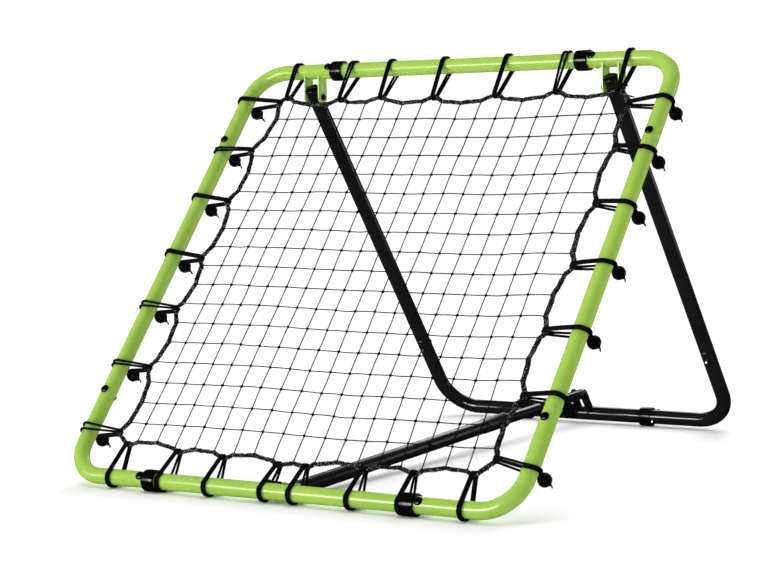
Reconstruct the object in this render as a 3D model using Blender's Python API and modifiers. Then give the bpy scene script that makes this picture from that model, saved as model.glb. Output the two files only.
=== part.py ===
"""Multisport rebounder.

A square tube frame leans back and carries a stretched net. A folding rear frame hangs from
brackets on its top tube, and a telescopic strut near the floor ties the two frames together.
Metres, +Z up. X runs along the tubes of the frame, and the net faces -Y.
The origin is on the floor, in the middle of the stand.
"""

from math import asin, atan2, copysign, cos, pi, radians, sin, sqrt, tan

import bmesh
import bpy
from mathutils import Matrix, Vector

# Clearance between pieces that seat on each other
GAP = 0.0003
MERGE = 0.00001
ROUND_SIDES = 12
SMALL_SIDES = 8
BEND_STEPS = 5

# Front frame
FRAME_SIZE = 1.000
TUBE_DIAMETER = 0.030
TUBE_WALL = 0.0015
FRAME_LEAN = radians(50.2)
CORNER_RADIUS = 0.070
LEVEL_SEAM_INSET = 0.1975
SIDE_SEAM_INSET = 0.202
SPIGOT_LENGTH = 0.050
SPIGOT_WALL = 0.0012
LEVEL_BOLT_FROM_SEAM = 0.0252
SIDE_BOLT_FROM_SEAM = 0.023

# Rear frame
LEG_LENGTH = 0.845
LEG_INSET = 0.1392
LEG_TOP = 0.021
REAR_CORNER_RADIUS = 0.075
REAR_LEG_SEAM = 0.200
REAR_BASE_SEAM_INSET = 0.2008
REAR_BOLT_FROM_SEAM = 0.0252

# Collars round the seams of the level tubes
COLLAR_WALL = 0.005
COLLAR_LENGTH = 0.032
COLLAR_SIDES = 12

# Brackets
BRACKET_THICKNESS = 0.003
BRACKET_SIDE_PLAY = 0.0006
HINGE_BRACKET_WIDTH = 0.028
HINGE_DROP = 0.0517
STRUT_BRACKET_WIDTH = 0.028
STRUT_BRACKET_REACH = 0.0422
STRUT_BRACKET_DIP = radians(5.4)
REAR_BRACKET_WIDTH = 0.025
REAR_BRACKET_REACH = 0.052
EAR_FOOT_POINTS = 6
EAR_END_POINTS = 7

# Fasteners
BOLT_RADIUS = 0.003
PIVOT_RADIUS = 0.004
HEAD_RADIUS = 0.0086
HEAD_HEIGHT = 0.005
NUT_HEIGHT = 0.0075
HEAD_SINK = 0.0012
DOME_SHOULDER = 0.72

# Strut
STRUT_OUTER_DIAMETER = 0.028
STRUT_INNER_DIAMETER = 0.022
STRUT_WALL = 0.0015
STRUT_MOUTH = 0.715
STRUT_FRONT_END = 0.013
STRUT_REAR_END = 0.0115
STRUT_INSERTION = 0.115
STRUT_PIVOT_PLAY = 0.0030
STRUT_CAP = 0.003
SLIDER_LENGTH = 0.015
BUSH_LENGTH = 0.030
BUSH_FLANGE = 0.003
SLEEVE_LENGTH = 0.085
SLEEVE_WALL = 0.0022
SLEEVE_NOSE = 0.0065
STOP_BOLT_FROM_PIVOT = 0.065
PLUG_DOME = 0.004
PLUG_STEM = 0.006

# Net and border rope
NET_CELLS = 12
NET_INSET = 0.088
NET_CORNER_EASE = 0.006
TWINE = 0.0020
ROPE_DIAMETER = 0.0080
ROPE_BOW = 0.137
ROPE_ARC = ((0.2, 0.72), (0.5, 1.0), (0.8, 0.72))
ROPE_STRAIGHT = 0.007

# Bungees
CORD = 0.0048
CORD_PAIR_WIDTH = 0.0104
BALL_DIAMETER = 0.026
BALL_SIDES = 6
BALL_RINGS = 4
BALL_SEAT = 0.0015
BESIDE_BALL_REACH = 0.0036
HOOK_RISE = 0.0063
HOOK_HALF_ANGLE = radians(9)
LEFT_BALL_ANGLE = radians(105)
RIGHT_BALL_ANGLE = radians(77)
TOP_BALL_ANGLE = radians(52)
WRAP_POINTS = 7
ROPE_WRAP_POINTS = 4

# Derived sizes
TUBE_RADIUS = TUBE_DIAMETER / 2
SPAN = FRAME_SIZE - TUBE_DIAMETER
HALF_SPAN = SPAN / 2
TUBE_HEIGHT = TUBE_RADIUS + GAP + COLLAR_WALL
UP = Vector((0, cos(FRAME_LEAN), sin(FRAME_LEAN)))
LEG_X = HALF_SPAN - LEG_INSET
SIDE_TUBE_HALF = HALF_SPAN - SIDE_SEAM_INSET
COLLAR_X = HALF_SPAN - LEVEL_SEAM_INSET
REAR_COLLAR_X = LEG_X - REAR_BASE_SEAM_INSET
SPIGOT_RADIUS = TUBE_RADIUS - TUBE_WALL - GAP
SPIGOT_BORE = SPIGOT_RADIUS - SPIGOT_WALL
HINGE_GAP = TUBE_DIAMETER + 2 * BRACKET_SIDE_PLAY
STRUT_FRONT_GAP = STRUT_OUTER_DIAMETER + 2 * BRACKET_SIDE_PLAY
STRUT_REAR_GAP = STRUT_INNER_DIAMETER + 2 * BRACKET_SIDE_PLAY
ROPE_RADIUS = ROPE_DIAMETER / 2
BALL_RADIUS = BALL_DIAMETER / 2
CORD_RADIUS = TUBE_RADIUS + GAP + CORD

# The hinge hangs straight below the top tube, and the legs reach the height of the front tube
HINGE = SPAN * UP + Vector((0, 0, -HINGE_DROP))
LEG_REACH = sqrt(LEG_LENGTH ** 2 - HINGE.z ** 2)
STAND_DEPTH = HINGE.y + LEG_REACH
FRONT_TUBE = Vector((0, -STAND_DEPTH / 2, TUBE_HEIGHT))
REAR_TUBE = Vector((0, STAND_DEPTH / 2, TUBE_HEIGHT))
HINGE_POINT = FRONT_TUBE + HINGE
LEG_ANGLE = atan2(HINGE.z, -LEG_REACH)
LEG_UP = Vector((0, cos(LEG_ANGLE), sin(LEG_ANGLE)))

# Ends of the strut, and the line between them
STRUT_BRACKET_AIM = Vector((0, cos(STRUT_BRACKET_DIP), -sin(STRUT_BRACKET_DIP)))
STRUT_FRONT = FRONT_TUBE + STRUT_BRACKET_REACH * STRUT_BRACKET_AIM
STRUT_REAR = REAR_TUBE + REAR_BRACKET_REACH * LEG_UP
STRUT_LINE = STRUT_REAR - STRUT_FRONT
STRUT_LENGTH = STRUT_LINE.length
STRUT_TILT = atan2(STRUT_LINE.z, STRUT_LINE.y)
STRUT_OUTER_RADIUS = STRUT_OUTER_DIAMETER / 2
STRUT_OUTER_BORE = STRUT_OUTER_RADIUS - STRUT_WALL
STRUT_INNER_RADIUS = STRUT_INNER_DIAMETER / 2
STRUT_INNER_BORE = STRUT_INNER_RADIUS - STRUT_WALL

# Turned shapes are made around Z, and these turn them to run along X or Y
ALONG_X = Matrix.Rotation(pi / 2, 4, "Y")
ALONG_Y = Matrix.Rotation(-pi / 2, 4, "X")
UNTURNED = Matrix.Identity(4)

# Colour, roughness and metallic value of each finish
FINISHES = {
    "lime_paint": ((0.42, 0.66, 0.10), 0.30, 0.0),
    "black_paint": ((0.012, 0.012, 0.013), 0.35, 0.0),
    "black_plastic": ((0.010, 0.010, 0.011), 0.30, 0.0),
    "black_twine": ((0.008, 0.008, 0.009), 0.85, 0.0),
    "black_elastic": ((0.007, 0.007, 0.008), 0.75, 0.0),
    "black_metal": ((0.015, 0.015, 0.016), 0.22, 0.6),
}
SMOOTH_ANGLE = radians(35)

# Where each ball lies, turned from the outer side of its tube towards the back
BALL_ANGLES = {"top": TOP_BALL_ANGLE, "left": LEFT_BALL_ANGLE, "right": RIGHT_BALL_ANGLE}


def clear_scene():
    for item in list(bpy.data.objects):
        bpy.data.objects.remove(item, do_unlink=True)


def new_collection(name):
    group = bpy.data.collections.new(name)
    bpy.context.scene.collection.children.link(group)
    return group


def new_empty(name, place, tilt):
    """An empty on a joint's axis, turned about X, that carries the pieces of one body."""
    empty = bpy.data.objects.new(name, None)
    empty.location = place
    empty.rotation_euler = (tilt, 0, 0)
    PARTS.objects.link(empty)
    return empty


def finish_material(name, piece_name):
    colour, roughness, metallic = FINISHES[name]
    made = bpy.data.materials.new(f"{piece_name}_{name}")
    made.use_nodes = True
    shader = made.node_tree.nodes["Principled BSDF"]
    shader.inputs["Base Color"].default_value = (*colour, 1)
    shader.inputs["Roughness"].default_value = roughness
    shader.inputs["Metallic"].default_value = metallic
    return made


def add_piece(name, data, carrier, finish, place=UNTURNED):
    """One named sub-part, placed in its carrier's axes."""
    piece = bpy.data.objects.new(name, data)
    piece.parent = carrier
    piece.matrix_local = place
    PARTS.objects.link(piece)
    data.materials.clear()
    data.materials.append(finish_material(finish, name))
    if isinstance(data, bpy.types.Mesh):
        data.shade_smooth()
        data.set_sharp_from_angle(angle=SMOOTH_ANGLE)
    return piece


def add_guide(name, data, carrier, place=UNTURNED):
    """A shape that only cuts or joins, and isn't a part."""
    guide = bpy.data.objects.new(name, data)
    guide.parent = carrier
    guide.matrix_local = place
    guide.hide_render = True
    guide.display_type = "WIRE"
    CUTTERS.objects.link(guide)
    return guide


def apply_boolean(piece, guide, operation):
    modifier = piece.modifiers.new(guide.name, "BOOLEAN")
    modifier.operation = operation
    modifier.solver = "EXACT"
    modifier.object = guide


def baked(holder):
    """The mesh of an object that was made only for its modifiers or its curve."""
    bpy.context.scene.collection.objects.link(holder)
    bpy.context.view_layer.update()
    seen = holder.evaluated_get(bpy.context.evaluated_depsgraph_get())
    made = bpy.data.meshes.new_from_object(seen)
    bpy.data.objects.remove(holder, do_unlink=True)
    return made


def welded(mesh):
    """The mesh with its coinciding corners made one and its faces turned outward."""
    shape = bmesh.new()
    shape.from_mesh(mesh)
    bmesh.ops.remove_doubles(shape, verts=shape.verts, dist=MERGE)
    bmesh.ops.recalc_face_normals(shape, faces=shape.faces)
    shape.to_mesh(mesh)
    shape.free()
    return mesh


def joined(copies):
    """One mesh from pairs of a mesh and the matrix that places it."""
    shape = bmesh.new()
    for source, place in copies:
        start = len(shape.verts)
        shape.from_mesh(source)
        shape.verts.ensure_lookup_table()
        bmesh.ops.transform(shape, matrix=place, verts=shape.verts[start:])
    made = bpy.data.meshes.new("joined")
    shape.to_mesh(made)
    shape.free()
    return made


def shift(x=0.0, y=0.0, z=0.0):
    return Matrix.Translation((x, y, z))


def turned(profile, sides, ring=False):
    """A profile of (radius, height) turned about Z, from its top down its outer side."""
    outline = bpy.data.meshes.new("profile")
    points = [(radius, 0, height) for radius, height in profile]
    edges = [(i, i + 1) for i in range(len(points) - 1)]
    if ring:
        edges.append((len(points) - 1, 0))
    outline.from_pydata(points, edges, [])
    holder = bpy.data.objects.new("turned", outline)
    screw = holder.modifiers.new("turn", "SCREW")
    screw.angle = 2 * pi
    screw.steps = sides
    screw.render_steps = sides
    screw.use_merge_vertices = True
    screw.merge_threshold = MERGE
    return baked(holder)


def pipe(outer, inner, low, high, sides=ROUND_SIDES):
    return turned([(inner, high), (outer, high), (outer, low), (inner, low)], sides, ring=True)


def around(radius, sides):
    """The corner radius of a polygon whose flats clear a shaft or a tube of the given radius."""
    return (radius + GAP) / cos(pi / sides)


def hole_rod(shaft_radius, half_length):
    radius = around(shaft_radius, SMALL_SIDES)
    profile = [(0, half_length), (radius, half_length), (radius, -half_length), (0, -half_length)]
    return turned(profile, SMALL_SIDES)


def bent_pipe(points):
    """A tube along a run of points, open at both ends and without its wall."""
    route = bpy.data.curves.new("route", "CURVE")
    route.dimensions = "3D"
    route.twist_mode = "Z_UP"
    route.bevel_depth = TUBE_RADIUS
    route.bevel_resolution = ROUND_SIDES // 2 - 2
    add_run(route, points, cyclic=False)
    return baked(bpy.data.objects.new("bent", route))


def add_run(curve, points, cyclic):
    spline = curve.splines.new("POLY")
    spline.points.add(len(points) - 1)
    spline.use_cyclic_u = cyclic
    for knot, place in zip(spline.points, points):
        knot.co = (*place, 1)


def bend_points(start, stop, radius):
    """Straight, an arc round the corner at the origin, and straight again."""
    first, second = start.normalized(), stop.normalized()
    turn = pi - first.angle(second)
    inset = radius * tan(turn / 2)
    centre = (first + second).normalized() * radius / cos(turn / 2)
    entry, leave = first * inset - centre, second * inset - centre
    arc = []
    for i in range(BEND_STEPS + 1):
        angle = turn * i / BEND_STEPS
        arc.append(centre + (entry * sin(turn - angle) + leave * sin(angle)) / sin(turn))
    return [start, *arc, stop]


def arc_points(centre, radius, first, last, count):
    step = (last - first) / (count - 1)
    angles = [first + i * step for i in range(count)]
    return [(centre[0] + radius * cos(a), centre[1] + radius * sin(a)) for a in angles]


def flat_plate(outlines, thickness):
    """A flat outline with its holes, as thick as given, about its own middle plane."""
    curve = bpy.data.curves.new("outline", "CURVE")
    curve.dimensions = "2D"
    curve.fill_mode = "BOTH"
    curve.extrude = thickness / 2
    for outline in outlines:
        add_run(curve, [(*place, 0) for place in outline], cyclic=True)
    return welded(baked(bpy.data.objects.new("plate", curve)))


def bracket_pair(reach, width, inside, aim):
    """Two ears that bed in a tube's wall and carry a pin, aimed along a direction across X."""
    seat = TUBE_RADIUS * cos(pi / ROUND_SIDES) - GAP
    spread = asin(width / 2 / seat)
    outline = arc_points((0, 0), seat, -spread, spread, EAR_FOOT_POINTS)
    outline += arc_points((reach, 0), width / 2, pi / 2, -pi / 2, EAR_END_POINTS)
    bore = arc_points((reach, 0), around(PIVOT_RADIUS, SMALL_SIDES),
                      0, 2 * pi * (1 - 1 / SMALL_SIDES), SMALL_SIDES)
    ear = flat_plate([outline, bore], BRACKET_THICKNESS)
    side = Vector((0, -aim.z, aim.y))
    turn = Matrix((aim, side, (1, 0, 0))).transposed().to_4x4()
    offset = (inside + BRACKET_THICKNESS) / 2
    return joined([(ear, shift(x=-offset) @ turn), (ear, shift(x=offset) @ turn)])


def through_bolt(shaft_radius, half_grip):
    """A domed bolt through its grip, with its domed nut on the far end."""
    shoulder = DOME_SHOULDER * HEAD_RADIUS
    profile = [(0, half_grip + HEAD_HEIGHT), (shoulder, half_grip + DOME_SHOULDER * HEAD_HEIGHT),
               (HEAD_RADIUS, half_grip), (shaft_radius, half_grip),
               (shaft_radius, -half_grip), (HEAD_RADIUS, -half_grip),
               (shoulder, -half_grip - DOME_SHOULDER * NUT_HEIGHT), (0, -half_grip - NUT_HEIGHT)]
    return turned(profile, SMALL_SIDES)


def joint_holes(places):
    return joined([(hole_rod(BOLT_RADIUS, TUBE_DIAMETER), place) for place in places])


def spigot_tube(half_length):
    """A straight tube about its middle, with a reduced spigot at each end."""
    main = half_length - GAP / 2
    tip = half_length + SPIGOT_LENGTH
    profile = [(SPIGOT_BORE, tip), (SPIGOT_RADIUS, tip), (SPIGOT_RADIUS, main), (TUBE_RADIUS, main),
               (TUBE_RADIUS, -main), (SPIGOT_RADIUS, -main), (SPIGOT_RADIUS, -tip), (SPIGOT_BORE, -tip)]
    return turned(profile, ROUND_SIDES, ring=True)


def collar():
    """A ring round a seam, with flats that clear the tube."""
    outer = around(TUBE_RADIUS + COLLAR_WALL, COLLAR_SIDES)
    inner = around(TUBE_RADIUS, COLLAR_SIDES)
    return pipe(outer, inner, -COLLAR_LENGTH / 2, COLLAR_LENGTH / 2, COLLAR_SIDES)


def collar_turn(tilt):
    """Turns a collar so that a flat faces the floor, whatever its carrier's tilt."""
    return Matrix.Rotation(pi / COLLAR_SIDES - tilt, 4, "X") @ ALONG_X


def add_bend(name, finish, carrier, corner, start, stop, radius, bolts):
    """A corner piece between two seams. The bolts of its two joints are one with it."""
    route = bend_points(start - corner, stop - corner, radius)
    piece = add_piece(name, bent_pipe(route), carrier, finish, Matrix.Translation(corner))
    wall = piece.modifiers.new("wall", "SOLIDIFY")
    wall.thickness = TUBE_WALL
    wall.offset = -1
    wall.use_even_offset = True
    shape = through_bolt(BOLT_RADIUS, TUBE_RADIUS - HEAD_SINK)
    guide = add_guide(f"{name}_bolts", joined([(shape, shift(*place)) for place in bolts]), carrier)
    apply_boolean(piece, guide, "UNION")
    return piece


def build_front_frame():
    level_bolt = COLLAR_X + LEVEL_BOLT_FROM_SEAM
    side_bolt = SIDE_TUBE_HALF + SIDE_BOLT_FROM_SEAM
    hinge_drop = HINGE_LOCAL - Vector((0, SPAN, 0))
    hinge_ears = bracket_pair(hinge_drop.length, HINGE_BRACKET_WIDTH, HINGE_GAP, hinge_drop.normalized())
    hinge_grip = HINGE_GAP / 2 + BRACKET_THICKNESS + GAP
    every_bolt = []
    for side, x in (("left", -1), ("right", 1)):
        for end, level, y in (("bottom", 0, -1), ("top", SPAN, 1)):
            corner = Vector((x * HALF_SPAN, level, 0))
            start = Vector((x * (COLLAR_X + GAP / 2), level, 0))
            stop = Vector((x * HALF_SPAN, HALF_SPAN + y * (SIDE_TUBE_HALF + GAP / 2), 0))
            bolts = [(x * level_bolt, level), (x * HALF_SPAN, HALF_SPAN + y * side_bolt)]
            every_bolt += bolts
            piece = add_bend(f"frame_corner_{end}_{side}", "lime_paint", FRONT,
                             corner, start, stop, CORNER_RADIUS, bolts)
            if end == "top":
                ears = add_guide(f"hinge_bracket_{side}", hinge_ears, FRONT, shift(x * LEG_X, SPAN))
                apply_boolean(piece, ears, "UNION")
            add_piece(f"{end}_collar_{side}", collar(), FRONT, "black_plastic",
                      shift(x * COLLAR_X, level) @ collar_turn(FRAME_LEAN))
        add_piece(f"leg_hinge_bolt_{side}", through_bolt(PIVOT_RADIUS, hinge_grip), FRONT, "black_metal",
                  shift(x * LEG_X, HINGE_LOCAL.y, HINGE_LOCAL.z) @ ALONG_X)
    straights = [
        ("frame_left_tube", spigot_tube(SIDE_TUBE_HALF), shift(-HALF_SPAN, HALF_SPAN) @ ALONG_Y),
        ("frame_right_tube", spigot_tube(SIDE_TUBE_HALF), shift(HALF_SPAN, HALF_SPAN) @ ALONG_Y),
        ("frame_top_tube", spigot_tube(COLLAR_X), shift(y=SPAN) @ ALONG_X),
        ("frame_bottom_tube", spigot_tube(COLLAR_X), ALONG_X),
    ]
    holes = add_guide("frame_joint_holes", joint_holes([shift(*place) for place in every_bolt]), FRONT)
    ears = add_guide("strut_front_bracket", bracket_pair(
        STRUT_FRONT_LOCAL.length, STRUT_BRACKET_WIDTH, STRUT_FRONT_GAP, STRUT_FRONT_LOCAL.normalized()), FRONT)
    for name, shape, place in straights:
        piece = add_piece(name, shape, FRONT, "lime_paint", place)
        if name == "frame_bottom_tube":
            apply_boolean(piece, ears, "UNION")
        apply_boolean(piece, holes, "DIFFERENCE")
    strut_grip = STRUT_FRONT_GAP / 2 + BRACKET_THICKNESS + GAP
    add_piece("strut_front_bolt", through_bolt(PIVOT_RADIUS, strut_grip), FRONT, "black_metal",
              Matrix.Translation(STRUT_FRONT_LOCAL) @ ALONG_X)


def bungee_places():
    """Each bungee as its place along its tube from the middle, and how far in it holds the rope.

    The outer bungees keep clear of the bends, the next ones stand beside the collars or the
    joints, and the inner ones are spread over what is left between them.
    """
    straight = HALF_SPAN - CORNER_RADIUS
    beside = COLLAR_X - COLLAR_LENGTH / 2
    joint = SIDE_TUBE_HALF
    return {
        "top": [(0.031 - straight, 0.056), (0.0215 - beside, 0.066), (-0.552 * beside, 0.066),
                (-0.081 * beside, 0.072), (0.438 * beside, 0.072), (beside - 0.0225, 0.069),
                (straight - 0.031, 0.069)],
        "bottom": [(0.036 - straight, 0.067), (0.0215 - beside, 0.059), (-0.541 * beside, 0.056),
                   (-0.0243, 0.052), (0.041, 0.052), (0.611 * beside, 0.054),
                   (beside - 0.0060, 0.052), (straight - 0.032, 0.059)],
        "left": [(0.025 - straight, 0.069), (0.038 - joint, 0.069), (-0.382 * joint, 0.069),
                 (0.049 * joint, 0.069), (0.541 * joint, 0.069), (joint - 0.001, 0.069),
                 (straight - 0.010, 0.075)],
        "right": [(0.0285 - straight, 0.062), (0.022 - joint, 0.060), (-0.435 * joint, 0.058),
                  (0.064 * joint, 0.059), (0.519 * joint, 0.060), (joint - 0.008, 0.062),
                  (straight - 0.038, 0.067)],
    }


def side_point(side, along, inward):
    """A point of the frame's plane, from its place along a tube and its distance inward."""
    if side == "top":
        return Vector((along, SPAN - inward, 0))
    if side == "bottom":
        return Vector((along, inward, 0))
    if side == "left":
        return Vector((inward - HALF_SPAN, HALF_SPAN + along, 0))
    return Vector((HALF_SPAN - inward, HALF_SPAN + along, 0))


def side_knots(side):
    """The rope along one tube: held out by each bungee, and bowed inward between two."""
    row = BUNGEES[side]
    knots = []
    for number, (along, inward) in enumerate(row):
        knots += [(along - ROPE_STRAIGHT, inward), (along + ROPE_STRAIGHT, inward)]
        if number + 1 < len(row):
            after, next_inward = row[number + 1]
            span = after - along
            for share, rise in ROPE_ARC:
                depth = inward + share * (next_inward - inward) + rise * ROPE_BOW * span
                knots.append((along + share * span, depth))
    return knots


def build_rope():
    """The border rope, clockwise round the net."""
    curve = bpy.data.curves.new("net_border_rope", "CURVE")
    curve.dimensions = "3D"
    curve.twist_mode = "Z_UP"
    curve.bevel_depth = ROPE_RADIUS
    curve.bevel_resolution = 1
    route = []
    for side, order in (("top", 1), ("right", -1), ("bottom", -1), ("left", 1)):
        route += [side_point(side, *knot) for knot in side_knots(side)[::order]]
    add_run(curve, route, cyclic=True)
    add_piece("net_border_rope", curve, FRONT, "black_twine")


def rope_depth(knots, place):
    for (first, depth), (last, next_depth) in zip(knots, knots[1:]):
        if first <= place <= last:
            return depth + (place - first) / (last - first) * (next_depth - depth)
    return 0.0


def twine_depth(side, low, high):
    """How far in the net's outer twine runs to pass the rope and the bungees on it."""
    knots = side_knots(side)
    rope = [depth for place, depth in knots if low < place < high]
    rope += [rope_depth(knots, low), rope_depth(knots, high)]
    beside = (CORD_PAIR_WIDTH + TWINE) / 2
    loops = [inward + GAP + CORD for place, inward in BUNGEES[side] if low - beside < place < high + beside]
    return max(rope + loops) + ROPE_RADIUS + 2 * GAP + TWINE / 2


def build_net():
    """A square mesh of twine whose outer run follows the inner side of the border rope."""
    pitch = (SPAN - 2 * NET_INSET) / NET_CELLS
    edge = HALF_SPAN - NET_INSET
    grid = bmesh.new()
    bmesh.ops.create_grid(grid, x_segments=NET_CELLS, y_segments=NET_CELLS, size=edge)
    for knot in grid.verts:
        x, y = knot.co.x, knot.co.y
        on_side, on_level = abs(x) > edge - pitch / 2, abs(y) > edge - pitch / 2
        ease = NET_CORNER_EASE if on_side and on_level else 0.0
        place = Vector((x, HALF_SPAN + y, 0))
        if on_side:
            side = "left" if x < 0 else "right"
            place.x = side_point(side, y, twine_depth(side, y - pitch, y + pitch) + ease).x
        if on_level:
            side = "bottom" if y < 0 else "top"
            place.y = side_point(side, x, twine_depth(side, x - pitch, x + pitch) + ease).y
        knot.co = place
    mesh = bpy.data.meshes.new("net")
    grid.to_mesh(mesh)
    grid.free()
    net = add_piece("net", mesh, FRONT, "black_twine")
    strands = net.modifiers.new("strands", "WIREFRAME")
    strands.thickness = TWINE
    strands.use_even_offset = True
    strands.use_relative_offset = False
    strands.use_boundary = True


def hooked_wrap(wrap, ball_angle):
    """The outside of a cord round the tube, higher where the ball's hook lies over it."""
    step = 2 * wrap / (WRAP_POINTS - 1)
    places = [(pi - wrap + i * step, CORD_RADIUS) for i in range(WRAP_POINTS)]
    if ball_angle is not None:
        hook = pi + ball_angle
        places = [place for place in places if abs(place[0] - hook) > 2 * HOOK_HALF_ANGLE]
        for side in (-1, 1):
            places.append((hook + side * HOOK_HALF_ANGLE, CORD_RADIUS + HOOK_RISE))
            places.append((hook + 2 * side * HOOK_HALF_ANGLE, CORD_RADIUS))
    return [(radius * cos(angle), radius * sin(angle)) for angle, radius in sorted(places)]


def strand_tilt(inward):
    """How far the two runs of a bungee lean together between the tube and the thinner rope."""
    return asin((TUBE_RADIUS - ROPE_RADIUS) / inward)


def bungee_loop(inward, ball_angle):
    """The outline of a doubled cord round the tube and the rope, with the rope along +X."""
    tilt = strand_tilt(inward)
    wrap = pi / 2 + tilt
    turn = pi / 2 - tilt
    clear = (TUBE_RADIUS + GAP) / cos(wrap / (WRAP_POINTS - 1))
    rope_clear = (ROPE_RADIUS + GAP) / cos(turn / (ROPE_WRAP_POINTS - 1))
    rope_middle = (inward, 0)
    inner = arc_points((0, 0), clear, pi - wrap, pi + wrap, WRAP_POINTS)
    inner += arc_points(rope_middle, rope_clear, -turn, turn, ROPE_WRAP_POINTS)
    outer = hooked_wrap(wrap, ball_angle)
    outer += arc_points(rope_middle, rope_clear + CORD, -turn, turn, ROPE_WRAP_POINTS)
    return [outer, inner]


def ball_place(side, along, inward):
    """The middle of a ball in its bungee's axes, and the direction of its seat.

    It sits on the hook, or for the left tube straight on the cord. For the bottom tube it sits on
    the returning cord, high enough to stay off the floor, and beside it where the strut's
    bracket is near.
    """
    if side in BALL_ANGLES:
        angle = BALL_ANGLES[side]
        outward = Vector((-cos(angle), -sin(angle), 0))
        rise = 0.0 if side == "left" else HOOK_RISE
        return (CORD_RADIUS + rise + BALL_RADIUS - BALL_SEAT) * outward, -outward
    nut_end = STRUT_FRONT_GAP / 2 + BRACKET_THICKNESS + GAP + NUT_HEIGHT
    aside = max(0, nut_end + BALL_RADIUS + 2 * GAP - abs(along))
    reach = CORD_RADIUS + (BESIDE_BALL_REACH if aside else BALL_RADIUS - BALL_SEAT)
    tilt = strand_tilt(inward)
    seat = Vector((-sin(tilt), cos(tilt), 0))
    run = Vector((cos(tilt), sin(tilt), 0))
    upward = Vector((sin(FRAME_LEAN), cos(FRAME_LEAN), 0))
    off_floor = (BALL_RADIUS + 2 * GAP - TUBE_HEIGHT + reach * seat.dot(upward)) / run.dot(upward)
    off_tube = sqrt(max(0, (TUBE_RADIUS + BALL_RADIUS + 2 * GAP) ** 2 - reach ** 2))
    beside = Vector((0, 0, copysign(aside, along)))
    return max(off_floor, off_tube) * run - reach * seat + beside, seat


def build_bungees():
    """Each bungee is a doubled cord round a tube and the rope, with a ball on its hook."""
    sphere = bmesh.new()
    bmesh.ops.create_uvsphere(sphere, u_segments=BALL_SIDES, v_segments=BALL_RINGS, radius=BALL_RADIUS)
    ball = bpy.data.meshes.new("ball")
    sphere.to_mesh(ball)
    sphere.free()
    front = Vector((0, 0, 1))
    for side, row in BUNGEES.items():
        inward_way = (side_point(side, 0, 1) - side_point(side, 0, 0)).normalized()
        turn = Matrix((inward_way, front, inward_way.cross(front))).transposed().to_4x4()
        hook = None if side in ("bottom", "left") else BALL_ANGLES[side]
        for number, (along, inward) in enumerate(row, 1):
            name = f"bungee_{side}_{number}"
            place = Matrix.Translation(side_point(side, along, 0)) @ turn
            piece = add_piece(name, flat_plate(bungee_loop(inward, hook), CORD_PAIR_WIDTH),
                              FRONT, "black_elastic", place)
            middle, seat = ball_place(side, along, inward)
            aim = seat.to_track_quat("Z", "Y").to_matrix().to_4x4()
            guide = add_guide(f"{name}_ball", ball, FRONT, place @ Matrix.Translation(middle) @ aim)
            apply_boolean(piece, guide, "UNION")


def build_rear_frame():
    hinge_hole = hole_rod(PIVOT_RADIUS, TUBE_DIAMETER)
    hinge_holes = add_guide("leg_hinge_holes", joined(
        [(hinge_hole, shift(x * LEG_X) @ ALONG_X) for x in (-1, 1)]), REAR)
    seam = REAR_LEG_SEAM - LEG_LENGTH
    base_bolt = REAR_COLLAR_X + REAR_BOLT_FROM_SEAM
    leg_bolt = seam - REAR_BOLT_FROM_SEAM
    every_bolt = [(x * across, along) for x in (-1, 1)
                  for across, along in ((base_bolt, -LEG_LENGTH), (LEG_X, leg_bolt))]
    holes = add_guide("rear_joint_holes", joint_holes([shift(*place) for place in every_bolt]), REAR)
    tip = seam - SPIGOT_LENGTH
    leg = [(SPIGOT_BORE, LEG_TOP), (TUBE_RADIUS, LEG_TOP), (TUBE_RADIUS, seam + GAP / 2),
           (SPIGOT_RADIUS, seam + GAP / 2), (SPIGOT_RADIUS, tip), (SPIGOT_BORE, tip)]
    stem = SPIGOT_BORE - GAP
    plug = [(0, GAP + PLUG_DOME), (DOME_SHOULDER * TUBE_RADIUS, GAP + DOME_SHOULDER * PLUG_DOME),
            (TUBE_RADIUS, GAP), (stem, GAP), (stem, -PLUG_STEM), (0, -PLUG_STEM)]
    for side, x in (("left", -1), ("right", 1)):
        piece = add_piece(f"rear_leg_{side}", turned(leg, ROUND_SIDES, ring=True), REAR, "black_paint",
                          shift(x * LEG_X) @ ALONG_Y)
        apply_boolean(piece, holes, "DIFFERENCE")
        apply_boolean(piece, hinge_holes, "DIFFERENCE")
        start = Vector((x * (REAR_COLLAR_X + GAP / 2), -LEG_LENGTH, 0))
        corner = Vector((x * LEG_X, -LEG_LENGTH, 0))
        stop = Vector((x * LEG_X, seam - GAP / 2, 0))
        add_bend(f"rear_corner_{side}", "black_paint", REAR, corner, start, stop, REAR_CORNER_RADIUS,
                 [(x * base_bolt, -LEG_LENGTH), (x * LEG_X, leg_bolt)])
        add_piece(f"leg_end_plug_{side}", turned(plug, ROUND_SIDES), REAR, "black_plastic",
                  shift(x * LEG_X, LEG_TOP) @ ALONG_Y)
        add_piece(f"rear_collar_{side}", collar(), REAR, "black_plastic",
                  shift(x * REAR_COLLAR_X, -LEG_LENGTH) @ collar_turn(LEG_ANGLE))
    base = add_piece("rear_base_tube", spigot_tube(REAR_COLLAR_X), REAR, "black_paint",
                     shift(y=-LEG_LENGTH) @ ALONG_X)
    ears = bracket_pair(REAR_BRACKET_REACH, REAR_BRACKET_WIDTH, STRUT_REAR_GAP, Vector((0, 1, 0)))
    apply_boolean(base, add_guide("strut_rear_bracket", ears, REAR, shift(y=-LEG_LENGTH)), "UNION")
    apply_boolean(base, holes, "DIFFERENCE")
    grip = STRUT_REAR_GAP / 2 + BRACKET_THICKNESS + GAP
    add_piece("strut_rear_bolt", through_bolt(PIVOT_RADIUS, grip), REAR, "black_metal",
              shift(y=REAR_BRACKET_REACH - LEG_LENGTH) @ ALONG_X)


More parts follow.
